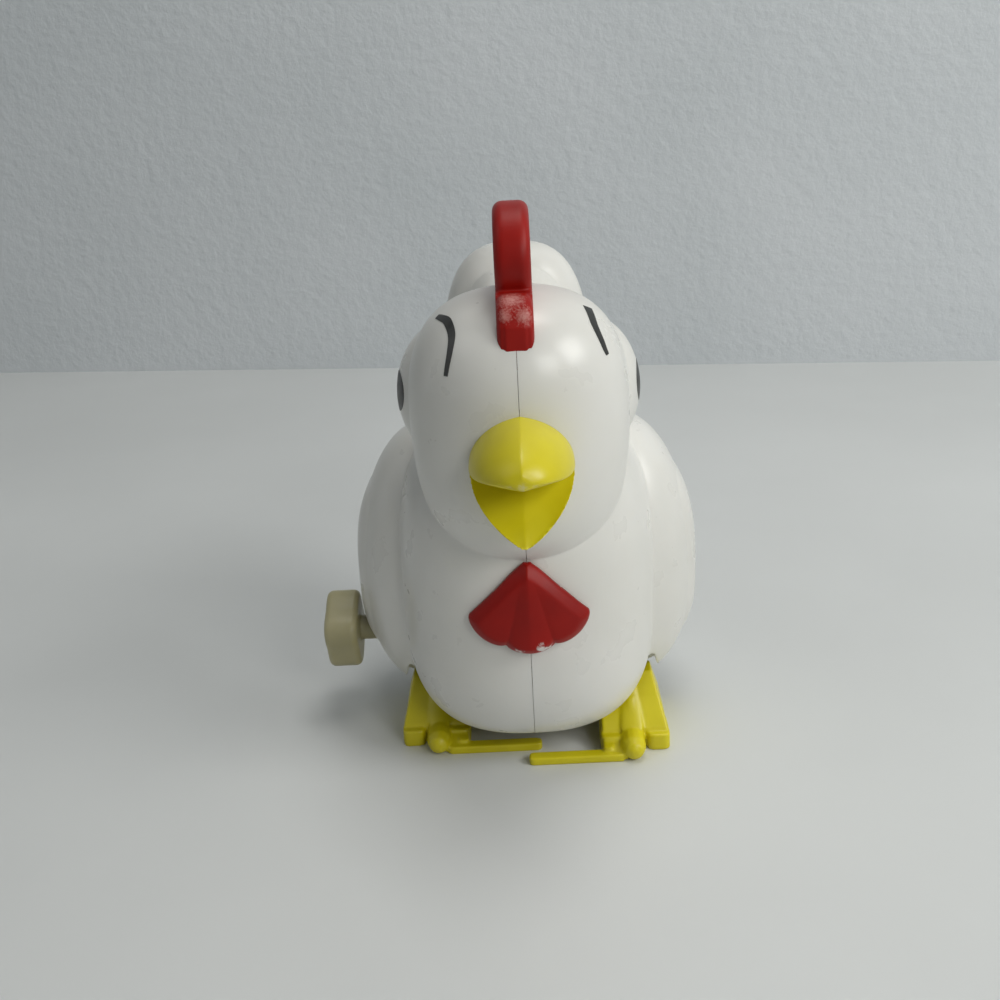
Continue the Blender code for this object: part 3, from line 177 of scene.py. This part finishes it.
lamp("right_pane", 0.65, 64, 34, 0.26, 1.85, "FFFFFC")
lamp("front_pane", 0.65, 30, 28, 0.20, 0.78, "FFFFFC")
lamp("ceiling", 0.65, 120, 82, 0.26, 1.15, "FFFEFA")
lamp("left_bounce", 0.60, -72, 48, 0.30, 0.20, "F8FAFC")
world = bpy.data.worlds.new("room")
world.use_nodes = True
room = world.node_tree.nodes["Background"]
room.inputs["Color"].default_value = tone("DDE2E4")
rays = node(world.node_tree, "ShaderNodeLightPath").outputs
seen = node(world.node_tree, "ShaderNodeMath", {"operation": "MAXIMUM"}, i0=rays["Is Camera Ray"],
            i1=rays["Is Glossy Ray"]).outputs["Value"]
seen = node(world.node_tree, "ShaderNodeMath", {"operation": "MAXIMUM"}, i0=seen,
            i1=rays["Is Transmission Ray"]).outputs["Value"]
link(world.node_tree, node(world.node_tree, "ShaderNodeMapRange", Value=seen, To_Min=0.085,
                           To_Max=0.75).outputs["Result"], room, "Strength")
bpy.context.scene.world = world


# Body: two halves of white ABS, injection moulded with a polished mould, pushed
# together on pegs. Torso, head, eye domes, wings and tail are egg shapes that flow
# into one another with small fillets, and the wings carry a raised panel of feathers.
def keep(name, mesh):
    made = bpy.data.objects.new(name, mesh)
    bpy.context.collection.objects.link(made)
    return made


def settled(made):
    """Apply an object's modifiers to its mesh."""
    bpy.context.view_layer.update()
    seen = made.evaluated_get(bpy.context.evaluated_depsgraph_get())
    mesh = bpy.data.meshes.new_from_object(seen)
    old = made.data
    made.modifiers.clear()
    made.data = mesh
    bpy.data.meshes.remove(old)
    return made


def signed_power(value, exponent):
    return math.copysign(abs(value) ** exponent, value)


def meshed(name, bm):
    """Finished mesh from a working one."""
    mesh = bpy.data.meshes.new(name)
    bm.to_mesh(mesh)
    bm.free()
    return mesh


def egg(x, y, z, half_width, front, back, up, down, fullness, plan, grow=0.0, sides=144,
        rings=84):
    """Egg in millimetres from the toy's mid plane, with its poles above and below.

    Fullness squares its upright section and plan squares its level one; 2 is round.
    """
    bm = bmesh.new()
    rows = []
    for k in range(1, rings):
        rise = signed_power(2 * k / rings - 1, 0.9) * math.pi / 2
        out = signed_power(math.cos(rise), 2 / fullness)
        height = signed_power(math.sin(rise), 2 / fullness)
        row = []
        for i in range(sides):
            turn = math.tau * i / sides
            across = signed_power(math.cos(turn), 2 / plan) * out
            along = signed_power(math.sin(turn), 2 / plan) * out
            row.append(bm.verts.new((
                MID_X + MM * (x + (half_width + grow) * across),
                MM * (y + ((back if along > 0 else front) + grow) * along),
                MM * (z + ((up if height > 0 else down) + grow) * height))))
        rows.append(row)
    low = bm.verts.new((MID_X + MM * x, MM * y, MM * (z - down - grow)))
    top = bm.verts.new((MID_X + MM * x, MM * y, MM * (z + up + grow)))
    for i in range(sides):
        j = (i + 1) % sides
        bm.faces.new((low, rows[0][j], rows[0][i]))
        bm.faces.new((top, rows[-1][i], rows[-1][j]))
        for lower, upper in zip(rows, rows[1:]):
            bm.faces.new((lower[i], lower[j], upper[j], upper[i]))
    return meshed("egg", bm)


def melted(name, meshes, voxel, passes, kept=1.0):
    """Run overlapping closed meshes together into one skin with softened inner corners."""
    bm = bmesh.new()
    for mesh in meshes:
        bm.from_mesh(mesh)
        bpy.data.meshes.remove(mesh)
    made = keep(name, meshed(name, bm))
    skin = made.modifiers.new("skin", "REMESH")
    skin.mode = "VOXEL"
    skin.voxel_size = voxel * MM
    if passes:
        soft = made.modifiers.new("soft", "SMOOTH")
        soft.factor, soft.iterations = 0.5, passes
    if kept < 1.0:
        thin = made.modifiers.new("thin", "DECIMATE")
        thin.ratio = kept
    return settled(made)


def blade(made, tool, operation):
    """Unite a piece with a tool, or cut it by one, and take the tool away."""
    step = made.modifiers.new(operation, "BOOLEAN")
    step.operation, step.solver, step.object = operation, "MANIFOLD", tool
    settled(made)
    bpy.data.objects.remove(tool)


def lofted(name, rings):
    """Closed mesh through rings of (x, y, z) points in millimetres from the mid plane."""
    bm = bmesh.new()
    rows = [[bm.verts.new((MID_X + MM * x, MM * y, MM * z)) for x, y, z in ring]
            for ring in rings]
    count = len(rows[0])
    for lower, upper in zip(rows, rows[1:]):
        for i in range(count):
            j = (i + 1) % count
            bm.faces.new((lower[i], lower[j], upper[j], upper[i]))
    bm.faces.new(reversed(rows[0]))
    bm.faces.new(rows[-1])
    bmesh.ops.recalc_face_normals(bm, faces=bm.faces)
    return meshed(name, bm)


def prism(outline, x0, x1):
    """Mesh across X from an outline of (y, z) points in millimetres."""
    return lofted("prism", [[(x, y, z) for y, z in outline] for x in (x0, x1)])


def turned(profile, centre, axis="X", sides=48):
    """Mesh turned about an axis from (along, radius) points in millimetres."""
    rings = []
    for along, radius in profile:
        ring = []
        for i in range(sides):
            turn = math.tau * i / sides
            a, b = centre[0] + radius * math.cos(turn), centre[1] + radius * math.sin(turn)
            ring.append({"X": (along, a, b), "Y": (a, along, b)}[axis])
        rings.append(ring)
    return lofted("turned", rings)


torso = (0, 1.0, 23.5, 18.6, 21.0, 23.0, 25.5, 21.3, 3.3, 2.5)
head = (0, -11.0, 52.5, 14.6, 14.0, 15.0, 16.0, 20.6, 2.7, 2.1)


def wing(side):
    return (side * 12.5, 6.5, 22.0, 12.7, 14.5, 17.5, 24.0, 18.5, 2.3, 2.2)


def feathers(side):
    return (side * 12.5, 6.5, 22.0, 13.3, 10.0, 13.0, 19.5, 14.0, 2.9, 2.9)


def eye_dome(side):
    return (side * 9.5, -6.5, 54.0, 7.0, 9.0, 9.0, 9.5, 9.5, 2.0, 2.0)


def tail(layer):
    return (0, 26.5 - 4.2 * layer, 48.0, 11.8 - 2.6 * layer, 9.0, 9.38, 21.0 - 2.8 * layer,
            22.0, 2.8, 2.0)


outer = [torso, head] + [tail(k) for k in range(3)]
inner = [torso, head, tail(0)]
for side in (-1, 1):
    outer += [wing(side), feathers(side), eye_dome(side)]
    inner.append(wing(side))
shell = keep("shell", egg(*outer[0]))
for sizes in outer[1:]:
    blade(shell, keep("part", egg(*sizes)), "UNION")
wall_thick = 1.5
hollow = [egg(*sizes, grow=-wall_thick, sides=40, rings=20) for sizes in inner]
blade(shell, melted("hollow", hollow, 0.9, 2, 0.5), "DIFFERENCE")


def grown(outline, distance):
    """Convex outline, anticlockwise, with every side moved out."""
    made = []
    for i, (a, b) in enumerate(outline):
        c, d = outline[i - 1]
        e, f = outline[(i + 1) % len(outline)]
        first, second = Vector((b - d, c - a)).normalized(), Vector((f - b, a - e)).normalized()
        corner = (first + second) * distance / (1 + first.dot(second))
        made.append((a + corner.x, b + corner.y))
    return made


# The opening under the belly is the motor's outline, and on each side the space that a
# boot sweeps, leaning in with the boot's outer cheek.
motor_side = [(-12.0, -1.5), (15.1, -1.5), (15.1, 15.5), (-12.0, 15.5)]
boot_side = [(-9.4, 0), (4.2, 0), (4.2, 2.9), (-0.3, 9.2), (-3.6, 9.2), (-6.3, 6.6), (-9.4, 2.9)]
cheek_front = [(7.2, -50), (20.0, -50), (20.0, 4.9), (18.14, 11.8), (7.2, 52.7)]
cutters = [prism(motor_side, -7.8, 7.8)]
for side, room, near, far in ((-1, 3.2, 7.7, 16.4), (1, 3.2, 7.7, 16.4),
                              (-1, 2.6, 16.3, 20.9), (1, 2.6, 16.3, 20.9)):
    sweep = keep("sweep", prism(grown(boot_side, room), *sorted((side * near, side * far))))
    cheek = lofted("cheek", [[(side * x, y, z) for x, z in cheek_front] for y in (-60, 60)])
    blade(sweep, keep("cheek", cheek), "INTERSECT")
    cutters.append(sweep.data)
    bpy.data.objects.remove(sweep)
blade(shell, melted("opening", cutters, 0.35, 0), "DIFFERENCE")
shaft_place = (5.0, 13.4)
blade(shell, keep("knob_hole", turned([(-30, 2.15), (-12, 2.15)], shaft_place)), "DIFFERENCE")
bare = shell.data
bpy.data.objects.remove(shell)
shell = melted("shell", [bare], 0.19, 1, 0.24)
surface = BVHTree.FromObject(shell, bpy.context.evaluated_depsgraph_get())

abs_white, tree, shader, place = finish_of(
    "moulded_white_abs", IOR=1.53, Subsurface_Weight=0.18, Subsurface_Scale=0.0016,
    Subsurface_Radius=(1.0, 0.93, 0.8))
# Polished ABS: a clear soft gloss, a little ivory with age, with faint handling smudges.
aged = node(tree, "ShaderNodeTexNoise", Vector=place, Scale=60.0, Detail=3.0).outputs["Fac"]
clean = ramp(tree, aged, (0.35, tone("DBDAD4")), (0.7, tone("E1E0DB")))
specks = node(tree, "ShaderNodeTexNoise", Vector=place, Scale=1500.0, Detail=1.0).outputs["Fac"]
dirt = ramp(tree, specks, (0.78, grey(0.0)), (0.86, grey(0.3)))
mixed = node(tree, "ShaderNodeMix", {"data_type": "RGBA"}, i0=dirt, i6=clean, i7=tone("B4B1A6"))
link(tree, mixed.outputs[2], shader, "Base Color")
rub = node(tree, "ShaderNodeTexNoise", Vector=place, Scale=180.0, Detail=4.0).outputs["Fac"]
link(tree, ramp(tree, rub, (0.3, grey(0.26)), (0.75, grey(0.36))), shader, "Roughness")
wave = node(tree, "ShaderNodeTexNoise", Vector=place, Scale=130.0, Detail=2.0).outputs["Fac"]
bump = node(tree, "ShaderNodeBump", Height=wave, Strength=0.10, Distance=0.0004)
link(tree, bump.outputs["Normal"], shader, "Normal")


def dress(made, material, body, slot, *nodes, angle=40.0):
    """Give a finished piece its material, smooth shading and body, and hide the CAD nodes it
    stands for.
    """
    made.data.materials.clear()
    made.data.materials.append(material)
    made.data.shade_smooth()
    made.data.set_sharp_from_angle(angle=math.radians(angle))
    if nodes:
        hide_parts(*nodes)
    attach(made, body)
    return made


beyond, half_gap = 60, 0.03
halfspace = [(-beyond, -beyond), (beyond, -beyond), (beyond, 2 * beyond), (-beyond, 2 * beyond)]
for side, name in ((-1, "right"), (1, "left")):
    half = keep(f"body_{name}", shell.data.copy())
    keeper = prism(halfspace, *sorted((side * half_gap, side * beyond)))
    blade(half, keep("keeper", keeper), "INTERSECT")
    dress(half, abs_white, "body", "white_abs", f"body_half_{name}")
bpy.data.objects.remove(shell)


# Comb: one red moulding with three round lobes, held in a slot of the head.
# Its edges are rounded, and its lower front is painted pale, partly as rubbed wear where the head
# bumps things and partly as a painted highlight on the front lobe's up-facing top.
def lobe(y, z, radius, half=2.3, edge=1.25):
    """Round disc across X with rolled edges."""
    profile = []
    for k in range(7):
        angle = math.pi / 2 * k / 6
        profile.append((-half + edge * (1 - math.sin(angle)),
                        radius - edge * (1 - math.cos(angle))))
    profile = profile[::-1]
    return turned(profile + [(-x, r) for x, r in profile[::-1]], (y, z), sides=80)


comb_root = []
for half, back in ((1.3, 0.0), (1.9, 0.2), (2.2, 0.55), (2.3, 0.9)):
    outline = [(back - 23.1, 60.6), (-back, 64.0), (-back, 68.5), (-7.0, 71.0), (-14.0, 70.0),
               (-19.4, 69.2), (back - 22.2, 67.9 - back), (back - 23.1, 65.8)]
    comb_root.append(prism(outline, -half, half))
lobes = [lobe(-19.4, 66.0, 3.4), lobe(-12.0, 72.72, 6.98), lobe(-3.4, 70.4, 6.2)]
comb = melted("comb_lobes", [*lobes, *comb_root], 0.18, 4, 0.5)


def pale_wear_and_highlight(tree, place, colour, pale, spots, grain, edge):
    """Pale a colour round (x, y, z, radius) spots, in flecks of a size and edge width, for rubbed
    wear and for painted highlights.
    """
    flecks = node(tree, "ShaderNodeTexNoise", Vector=place, Scale=1000 / grain, Detail=5.0,
                  Roughness=0.7).outputs["Fac"]
    for x, y, z, radius in spots:
        centre = (MID_X + MM * x, MM * y, MM * z)
        away = node(tree, "ShaderNodeVectorMath", {"operation": "DISTANCE"}, i0=place, i1=centre)
        near = node(tree, "ShaderNodeMapRange", Value=away.outputs["Value"], From_Min=radius * MM,
                    From_Max=0.0, To_Min=-0.3, To_Max=0.45).outputs["Result"]
        both = node(tree, "ShaderNodeMath", {"operation": "ADD"}, i0=near, i1=flecks)
        low, high = 0.75 - edge / 2, 0.75 + edge / 2
        mask = ramp(tree, both.outputs["Value"], (low, grey(0.0)), (high, grey(1.0)))
        colour = node(tree, "ShaderNodeMix", {"data_type": "RGBA"}, i0=mask, i6=colour,
                      i7=pale).outputs[2]
    return colour


def glossy(name, dark, light, pale, spots, grain, edge, gloss, **inputs):
    """Polished moulding: two close tones, pale spots of wear and painted highlight, and a gloss
    that varies a little.
    """
    made, tree, shader, place = finish_of(name, **inputs)
    blotch = node(tree, "ShaderNodeTexNoise", Vector=place, Scale=150.0, Detail=4.0).outputs["Fac"]
    colour = ramp(tree, blotch, (0.3, tone(dark)), (0.7, tone(light)))
    link(tree, pale_wear_and_highlight(tree, place, colour, tone(pale), spots, grain, edge), shader, "Base Color")
    rough = ramp(tree, blotch, (0.3, grey(gloss)), (0.7, grey(gloss + 0.12)))
    link(tree, rough, shader, "Roughness")
    ripple = node(tree, "ShaderNodeTexNoise", Vector=place, Scale=240.0, Detail=2.0).outputs["Fac"]
    bump = node(tree, "ShaderNodeBump", Height=ripple, Strength=0.12, Distance=0.0003)
    link(tree, bump.outputs["Normal"], shader, "Normal")
    return made


# Polished red ABS, painted pale on the front lobe's top and on the wattle's lower edge: partly
# rubbed wear, partly a painted highlight.
abs_red = glossy("moulded_red_abs", "860C04", "981107", "C08079",
                 ((-0.4, -21.0, 69.0, 3.4), (1.2, -22.6, 67.2, 2.4), (-1.2, -22.6, 67.4, 2.0)),
                 grain=0.3,
                 edge=0.4, gloss=0.36, IOR=1.53, Specular_IOR_Level=0.2)
dress(comb, abs_red, "body", "red_abs", "comb")


# Beak: two yellow mandibles moulded as one piece with a plug through the face.
# The upper one is an arch with a crest down its middle.
def mandible(sections, crest, steps=20):
    """Closed shape through (y, width, top, side, low) sections."""
    rings = []
    for y, width, top, side, low in sections:
        ring = []
        for i in range(2 * steps + 1):
            share = math.sin(math.pi / 2 * (i / steps - 1))
            arch = (top - crest - side) * math.sqrt(max(1 - share**2, 0.0))
            ring.append((-width * share, y, side + arch + crest * (1 - abs(share))))
        for i in range(1, 2 * steps):
            share = i / steps - 1
            ring.append((width * share, y, side + (low - side) * (1 - share**2)))
        rings.append(ring)
    return lofted("mandible", rings)


def stations(tip_y, steps):
    """Places from inside the face to the tip, with how far along they are."""
    yield -21.6, 0.0
    for k in range(steps + 1):
        t = math.sin(math.pi / 2 * k / steps)
        yield -24.6 + (tip_y + 24.6) * t, t


upper, lower = [], []
for y, t in stations(-36.0, 30):
    side = 48.9 + 1.5 * t**2
    upper.append((y, 0.6 + 6.0 * (1 - t**2) ** 0.55, side + 0.8 + 5.6 * (1 - t**2) ** 0.7,
                  side, side - 0.8))
for y, t in stations(-31.6, 24):
    side = 48.5 - 7.6 * t
    lower.append((y, 0.6 + 6.0 * (1 - t**2) ** 0.9, side - 0.27, side,
                  48.9 - 9.1 * (1 - t) - 8.4 * t))
plug = turned([(-25, 2.2), (-21, 2.2)], (0, 46.5), axis="Y")
beak = melted("beak_mandibles", [mandible(upper, 0.9), mandible(lower, 0.5), plug], 0.13, 4, 0.6)
# Polished yellow ABS; the upper lip is worn pale along its front edge.
abs_yellow = glossy("moulded_yellow_abs", "CDBF10", "D8CB18", "CFC890",
                    ((0.0, -36.2, 50.0, 1.3), (-1.6, -36.0, 49.9, 1.0), (1.6, -36.0, 49.9, 1.0)),
                    grain=0.25, edge=0.4, gloss=0.30, IOR=1.53, Specular_IOR_Level=0.4,
                    Subsurface_Weight=0.10, Subsurface_Scale=0.0014,
                    Subsurface_Radius=(1.0, 0.8, 0.1))
dress(beak, abs_yellow, "body", "yellow_abs", "beak", angle=60)


# Wattle: a red fan with three scalloped lobes that lies against the chest.
def chest(x, z, grow):
    """The y of the torso's front at a height, in millimetres."""
    _, y, mid, half, front, _, up, down, fullness, plan = torso
    tall = (up if z > mid else down) + grow
    out = (1 - min(abs(z - mid) / tall, 0.999) ** fullness) ** (1 / fullness)
    across = min(abs(x) / ((half + grow) * out), 0.999)
    return y - (front + grow) * out * (1 - across**plan) ** (1 / plan)


spread, rays, rows, top = math.radians(46.0), 91, 34, 34.3
rings = []
for i in range(rays):
    share = 2 * i / (rays - 1) - 1
    angle = spread * share
    lobe_wave = abs(math.sin(1.5 * math.pi * (share + 1))) ** 0.5
    length = 13.4 - 1.3 * share**2 - 0.9 * (1 - lobe_wave)
    front, back = [], []
    for k in range(rows + 1):
        out = 0.03 + 0.97 * (k / rows) ** 0.85
        x = out * length * math.sin(angle) * (1 + 0.4 * (1 - out) ** 3)
        z = top - out * length * math.cos(angle)
        rim = min((1 - out) * length, out * length * math.sin(spread - abs(angle)))
        soft = min(max(rim, 0.0) / 1.3, 1.0) ** 0.6
        y = chest(x, z, 0.15)
        stand = 1.7 * (0.35 + 0.65 * soft) + soft * (0.5 * (1 - abs(share))
                                                     - 0.3 * out * (1 - lobe_wave))
        back.append((x, y, z))
        front.append((x, y - stand, z))
    rings.append(front + back[::-1])
wattle = melted("wattle_fan", [lofted("fan", rings)], 0.16, 6, 0.5)
# The wattle's lower lobe has pale patches that are partly rubbed paint and partly painted
# highlights.
red_wear_and_highlight = glossy("red_abs_wear_and_painted_highlight", "860C04", "981107", "D5CFCB",
                  ((-1.6, -22.0, 21.7, 1.7), (1.6, -22.0, 22.0, 2.6), (2.4, -22.0, 21.8, 2.2)),
                  grain=1.0,
                  edge=0.16, gloss=0.36, IOR=1.53, Specular_IOR_Level=0.2)
dress(wattle, red_wear_and_highlight, "body", "red_abs", "wattle")


# Eyes: black paint, one stroke along the front of each eye dome and a pupil on its
# side, printed on the white plastic.
paint, tree, shader, place = finish_of("black_pad_print", IOR=1.5)
spread_ink = node(tree, "ShaderNodeTexNoise", Vector=place, Scale=900.0, Detail=3.0).outputs["Fac"]
inks = ramp(tree, spread_ink, (0.35, tone("161614")), (0.7, tone("2A2926")))
link(tree, inks, shader, "Base Color")
link(tree, ramp(tree, spread_ink, (0.35, grey(0.30)), (0.7, grey(0.45))), shader, "Roughness")


def film(name, bm):
    """Thin coat of paint from a surface that lies just over the shell."""
    bmesh.ops.recalc_face_normals(bm, faces=bm.faces)
    made = keep(name, meshed(name, bm))
    coat = made.modifiers.new("coat", "SOLIDIFY")
    coat.thickness, coat.offset = 0.05 * MM, 0.0
    return dress(settled(made), paint, "body", "white_abs")


def stroke(name, spots, widths, lift=0.03, steps=28, across=6):
    """Strip of paint on the shell along (x, y, z) spots, with its widths from end to end."""
    points = [Vector((MID_X + MM * x, MM * y, MM * z)) for x, y, z in spots]
    line = []
    for i in range(steps + 1):
        t = i / steps * (len(points) - 1)
        k = min(int(t), len(points) - 2)
        p0, p1, p2, p3 = (points[max(k - 1, 0)], points[k], points[k + 1],
                          points[min(k + 2, len(points) - 1)])
        f = t - k
        line.append(0.5 * ((2 * p1) + (p2 - p0) * f + (2 * p0 - 5 * p1 + 4 * p2 - p3) * f**2
                           + (3 * p1 - p0 - 3 * p2 + p3) * f**3))
    bm = bmesh.new()
    strips = []
    for i, spot in enumerate(line):
        ahead = (line[min(i + 1, steps)] - line[max(i - 1, 0)]).normalized()
        found, normal, _, _ = surface.find_nearest(spot)
        over = normal.cross(ahead).normalized()
        t = i / steps * (len(widths) - 1)
        k = min(int(t), len(widths) - 2)
        width = MM * (widths[k] + (widths[k + 1] - widths[k]) * (t - k))
        strip = []
        for j in range(across + 1):
            share = 2 * j / across - 1
            place_at, up, _, _ = surface.find_nearest(found + over * width * share / 2)
            strip.append(bm.verts.new(place_at + up * MM * lift))
        strips.append(strip)
    for a, b in zip(strips, strips[1:]):
        for j in range(across):
            bm.faces.new((a[j], a[j + 1], b[j + 1], b[j]))
    return film(name, bm)


def pupil(name, side, y, z, half_long, half_tall, lift=0.03, rings=10, sides=48):
    """Oval of paint on the outer side of an eye dome."""
    bm = bmesh.new()

    def laid(a, b):
        at, up, _, _ = surface.ray_cast(Vector((MID_X + side * 30 * MM, MM * a, MM * b)),
                                        Vector((-side, 0.0, 0.0)))
        return bm.verts.new(at + up * MM * lift)

    centre = laid(y, z)
    rows = []
    for k in range(1, rings + 1):
        share = k / rings
        rows.append([laid(y + half_long * share * math.cos(math.tau * i / sides),
                          z + half_tall * share * math.sin(math.tau * i / sides))
                     for i in range(sides)])
    for i in range(sides):
        j = (i + 1) % sides
        bm.faces.new((centre, rows[0][i], rows[0][j]))
        for a, b in zip(rows, rows[1:]):
            bm.faces.new((a[i], b[i], b[j], a[j]))
    return film(name, bm)


stroke("right_eye_stroke", [(-9.9, -13.9, 65.8), (-9.2, -15.4, 65.9), (-8.4, -17.0, 65.7),
                            (-7.9, -19.3, 64.6), (-8.2, -20.7, 62.7), (-8.8, -21.5, 59.9)],
       (0.7, 1.0, 1.15, 1.1, 0.85, 0.6))
stroke("left_eye_stroke", [(9.2, -14.3, 66.2), (9.9, -17.1, 64.5), (11.0, -18.4, 62.2),
                           (11.5, -18.6, 61.0)], (1.4, 1.25, 0.95, 0.65))
pupil("right_pupil", -1, -8.4, 54.9, 3.3, 2.7)
pupil("left_pupil", 1, -7.2, 54.6, 3.3, 2.8)


# Knob: ivory polypropylene, slightly see-through, with four grip lobes and a dished
# face, pushed on the winding shaft.
rings = []
inner, outer = -26.4, -31.4
profile = [(inner, 2.0), (inner, 0.7), (inner - 0.2, 0.3), (inner - 0.7, 0.0), (outer + 0.7, 0.0),
           (outer + 0.2, 0.3), (outer, 0.7), (outer, 1.9), (outer + 0.6, 2.6)]
for x, inset in profile:
    ring = []
    for i in range(96):
        turn = math.tau * i / 96
        reach = 5.9 - inset + 0.55 * (math.cos(4 * turn) - 1)
        angle = turn + math.radians(70)
        ring.append((x, shaft_place[0] + reach * math.cos(angle),
                     shaft_place[1] + reach * math.sin(angle)))
    rings.append(ring)
neck = turned([(-27, 1.9), (-19.9, 1.9)], shaft_place)
knob = melted("winding_knob", [lofted("grip", rings), neck], 0.2, 3, 0.5)
ivory, tree, shader, place = finish_of("moulded_ivory_polypropylene", IOR=1.49, Roughness=0.36,
                                       Subsurface_Weight=0.5, Subsurface_Scale=0.004,
                                       Subsurface_Radius=(1.0, 0.9, 0.6), Transmission_Weight=0.1)
blotch = node(tree, "ShaderNodeTexNoise", Vector=place, Scale=120.0, Detail=4.0).outputs["Fac"]
link(tree, ramp(tree, blotch, (0.3, tone("A9A27C")), (0.7, tone("BAB38F"))), shader, "Base Color")
dress(knob, ivory, "winding", "ivory_abs", "knob", angle=60)


# Legs: yellow ABS boots with three toes, hung on the crank pins by flat plates. The
# middle toe runs up the boot as a round ridge, and every edge is rounded.
def softened(name, voxel, passes, kept, *extra):
    """Copy of a CAD piece with its edges rounded as a mould leaves them."""
    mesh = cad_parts[name].data.copy()
    bm = bmesh.new()
    bm.from_mesh(mesh)
    bmesh.ops.remove_doubles(bm, verts=bm.verts, dist=1e-6)
    bm.to_mesh(mesh)
    bm.free()
    return melted(f"{name}_moulding", [mesh, *extra], voxel, passes, kept)


def ridge(x, spots, sides=24):
    """Closed round bar through (y, z, radius) spots, standing in the boot's front."""
    turns = [math.tau * i / sides for i in range(sides)]
    return lofted("ridge", [[(x + radius * math.cos(turn), y + 0.8 * radius * math.sin(turn),
                              z + 0.5 * radius * math.sin(turn)) for turn in turns]
                            for y, z, radius in spots])


for name, side, back in (("left", 1, -2.0), ("right", -1, 2.0)):
    toe = ridge(side * 14.2, [(back - 11.6, 1.0, 1.6), (back - 11.0, 2.2, 1.7),
                              (back - 9.2, 3.4, 1.65), (back - 6.6, 6.2, 1.35),
                              (back - 5.2, 7.9, 0.9)])
    web = prism([(back - 13.0, 0.15), (back - 7.0, 0.15), (back - 7.0, 2.6), (back - 10.3, 2.2),
                 (back - 12.8, 1.2)], *sorted((side * 10.0, side * 13.2)))
    dress(softened(f"leg_{name}", 0.18, 6, 0.4, toe, web), abs_yellow, f"{name}_leg", "yellow_abs",
          f"leg_{name}")


# Motor: an ivory case in two halves, white acetal gears and cranks, and steel shafts,
# clips and spring. Most of it is hidden in the body.
case_plastic, tree, shader, place = finish_of("satin_ivory_abs", IOR=1.53, Roughness=0.45)
blotch = node(tree, "ShaderNodeTexNoise", Vector=place, Scale=200.0, Detail=4.0).outputs["Fac"]
link(tree, ramp(tree, blotch, (0.3, tone("D3CBA8")), (0.7, tone("DDD6B8"))), shader, "Base Color")
acetal, tree, shader, place = finish_of("natural_acetal", IOR=1.48, Roughness=0.4,
                                        Subsurface_Weight=0.3, Subsurface_Scale=0.002)
blotch = node(tree, "ShaderNodeTexNoise", Vector=place, Scale=300.0, Detail=3.0).outputs["Fac"]
link(tree, ramp(tree, blotch, (0.3, tone("DEDDD4")), (0.7, tone("E8E7E0"))), shader, "Base Color")
steel, tree, shader, place = finish_of("bright_drawn_steel", Metallic=1.0)
drawn = node(tree, "ShaderNodeMapping", Vector=place, Scale=(60.0, 4000.0, 4000.0))
lines = node(tree, "ShaderNodeTexNoise", Vector=drawn.outputs["Vector"], Scale=1.0,
             Detail=3.0).outputs["Fac"]
link(tree, ramp(tree, lines, (0.3, tone("A9A9A6")), (0.7, tone("C2C2BF"))), shader, "Base Color")
link(tree, ramp(tree, lines, (0.3, grey(0.22)), (0.7, grey(0.38))), shader, "Roughness")
moulded_acetal = ("great_wheel", "second_wheel", "crank_wheel", "star_wheel", "rocker",
                  "crank_disc_left", "crank_disc_right")
drawn_steel = ("mainspring", "winding_shaft", "second_arbor", "star_arbor", "rocker_arbor",
               "crank_shaft", "leg_clip_left", "leg_clip_right")
for material, names in ((case_plastic, ("case_half_left", "case_half_right")),
                        (acetal, moulded_acetal), (steel, drawn_steel)):
    for name in names:
        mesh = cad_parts[name].data
        mesh.materials.clear()
        mesh.materials.append(material)

bpy.context.scene.view_settings.view_transform = "Standard"
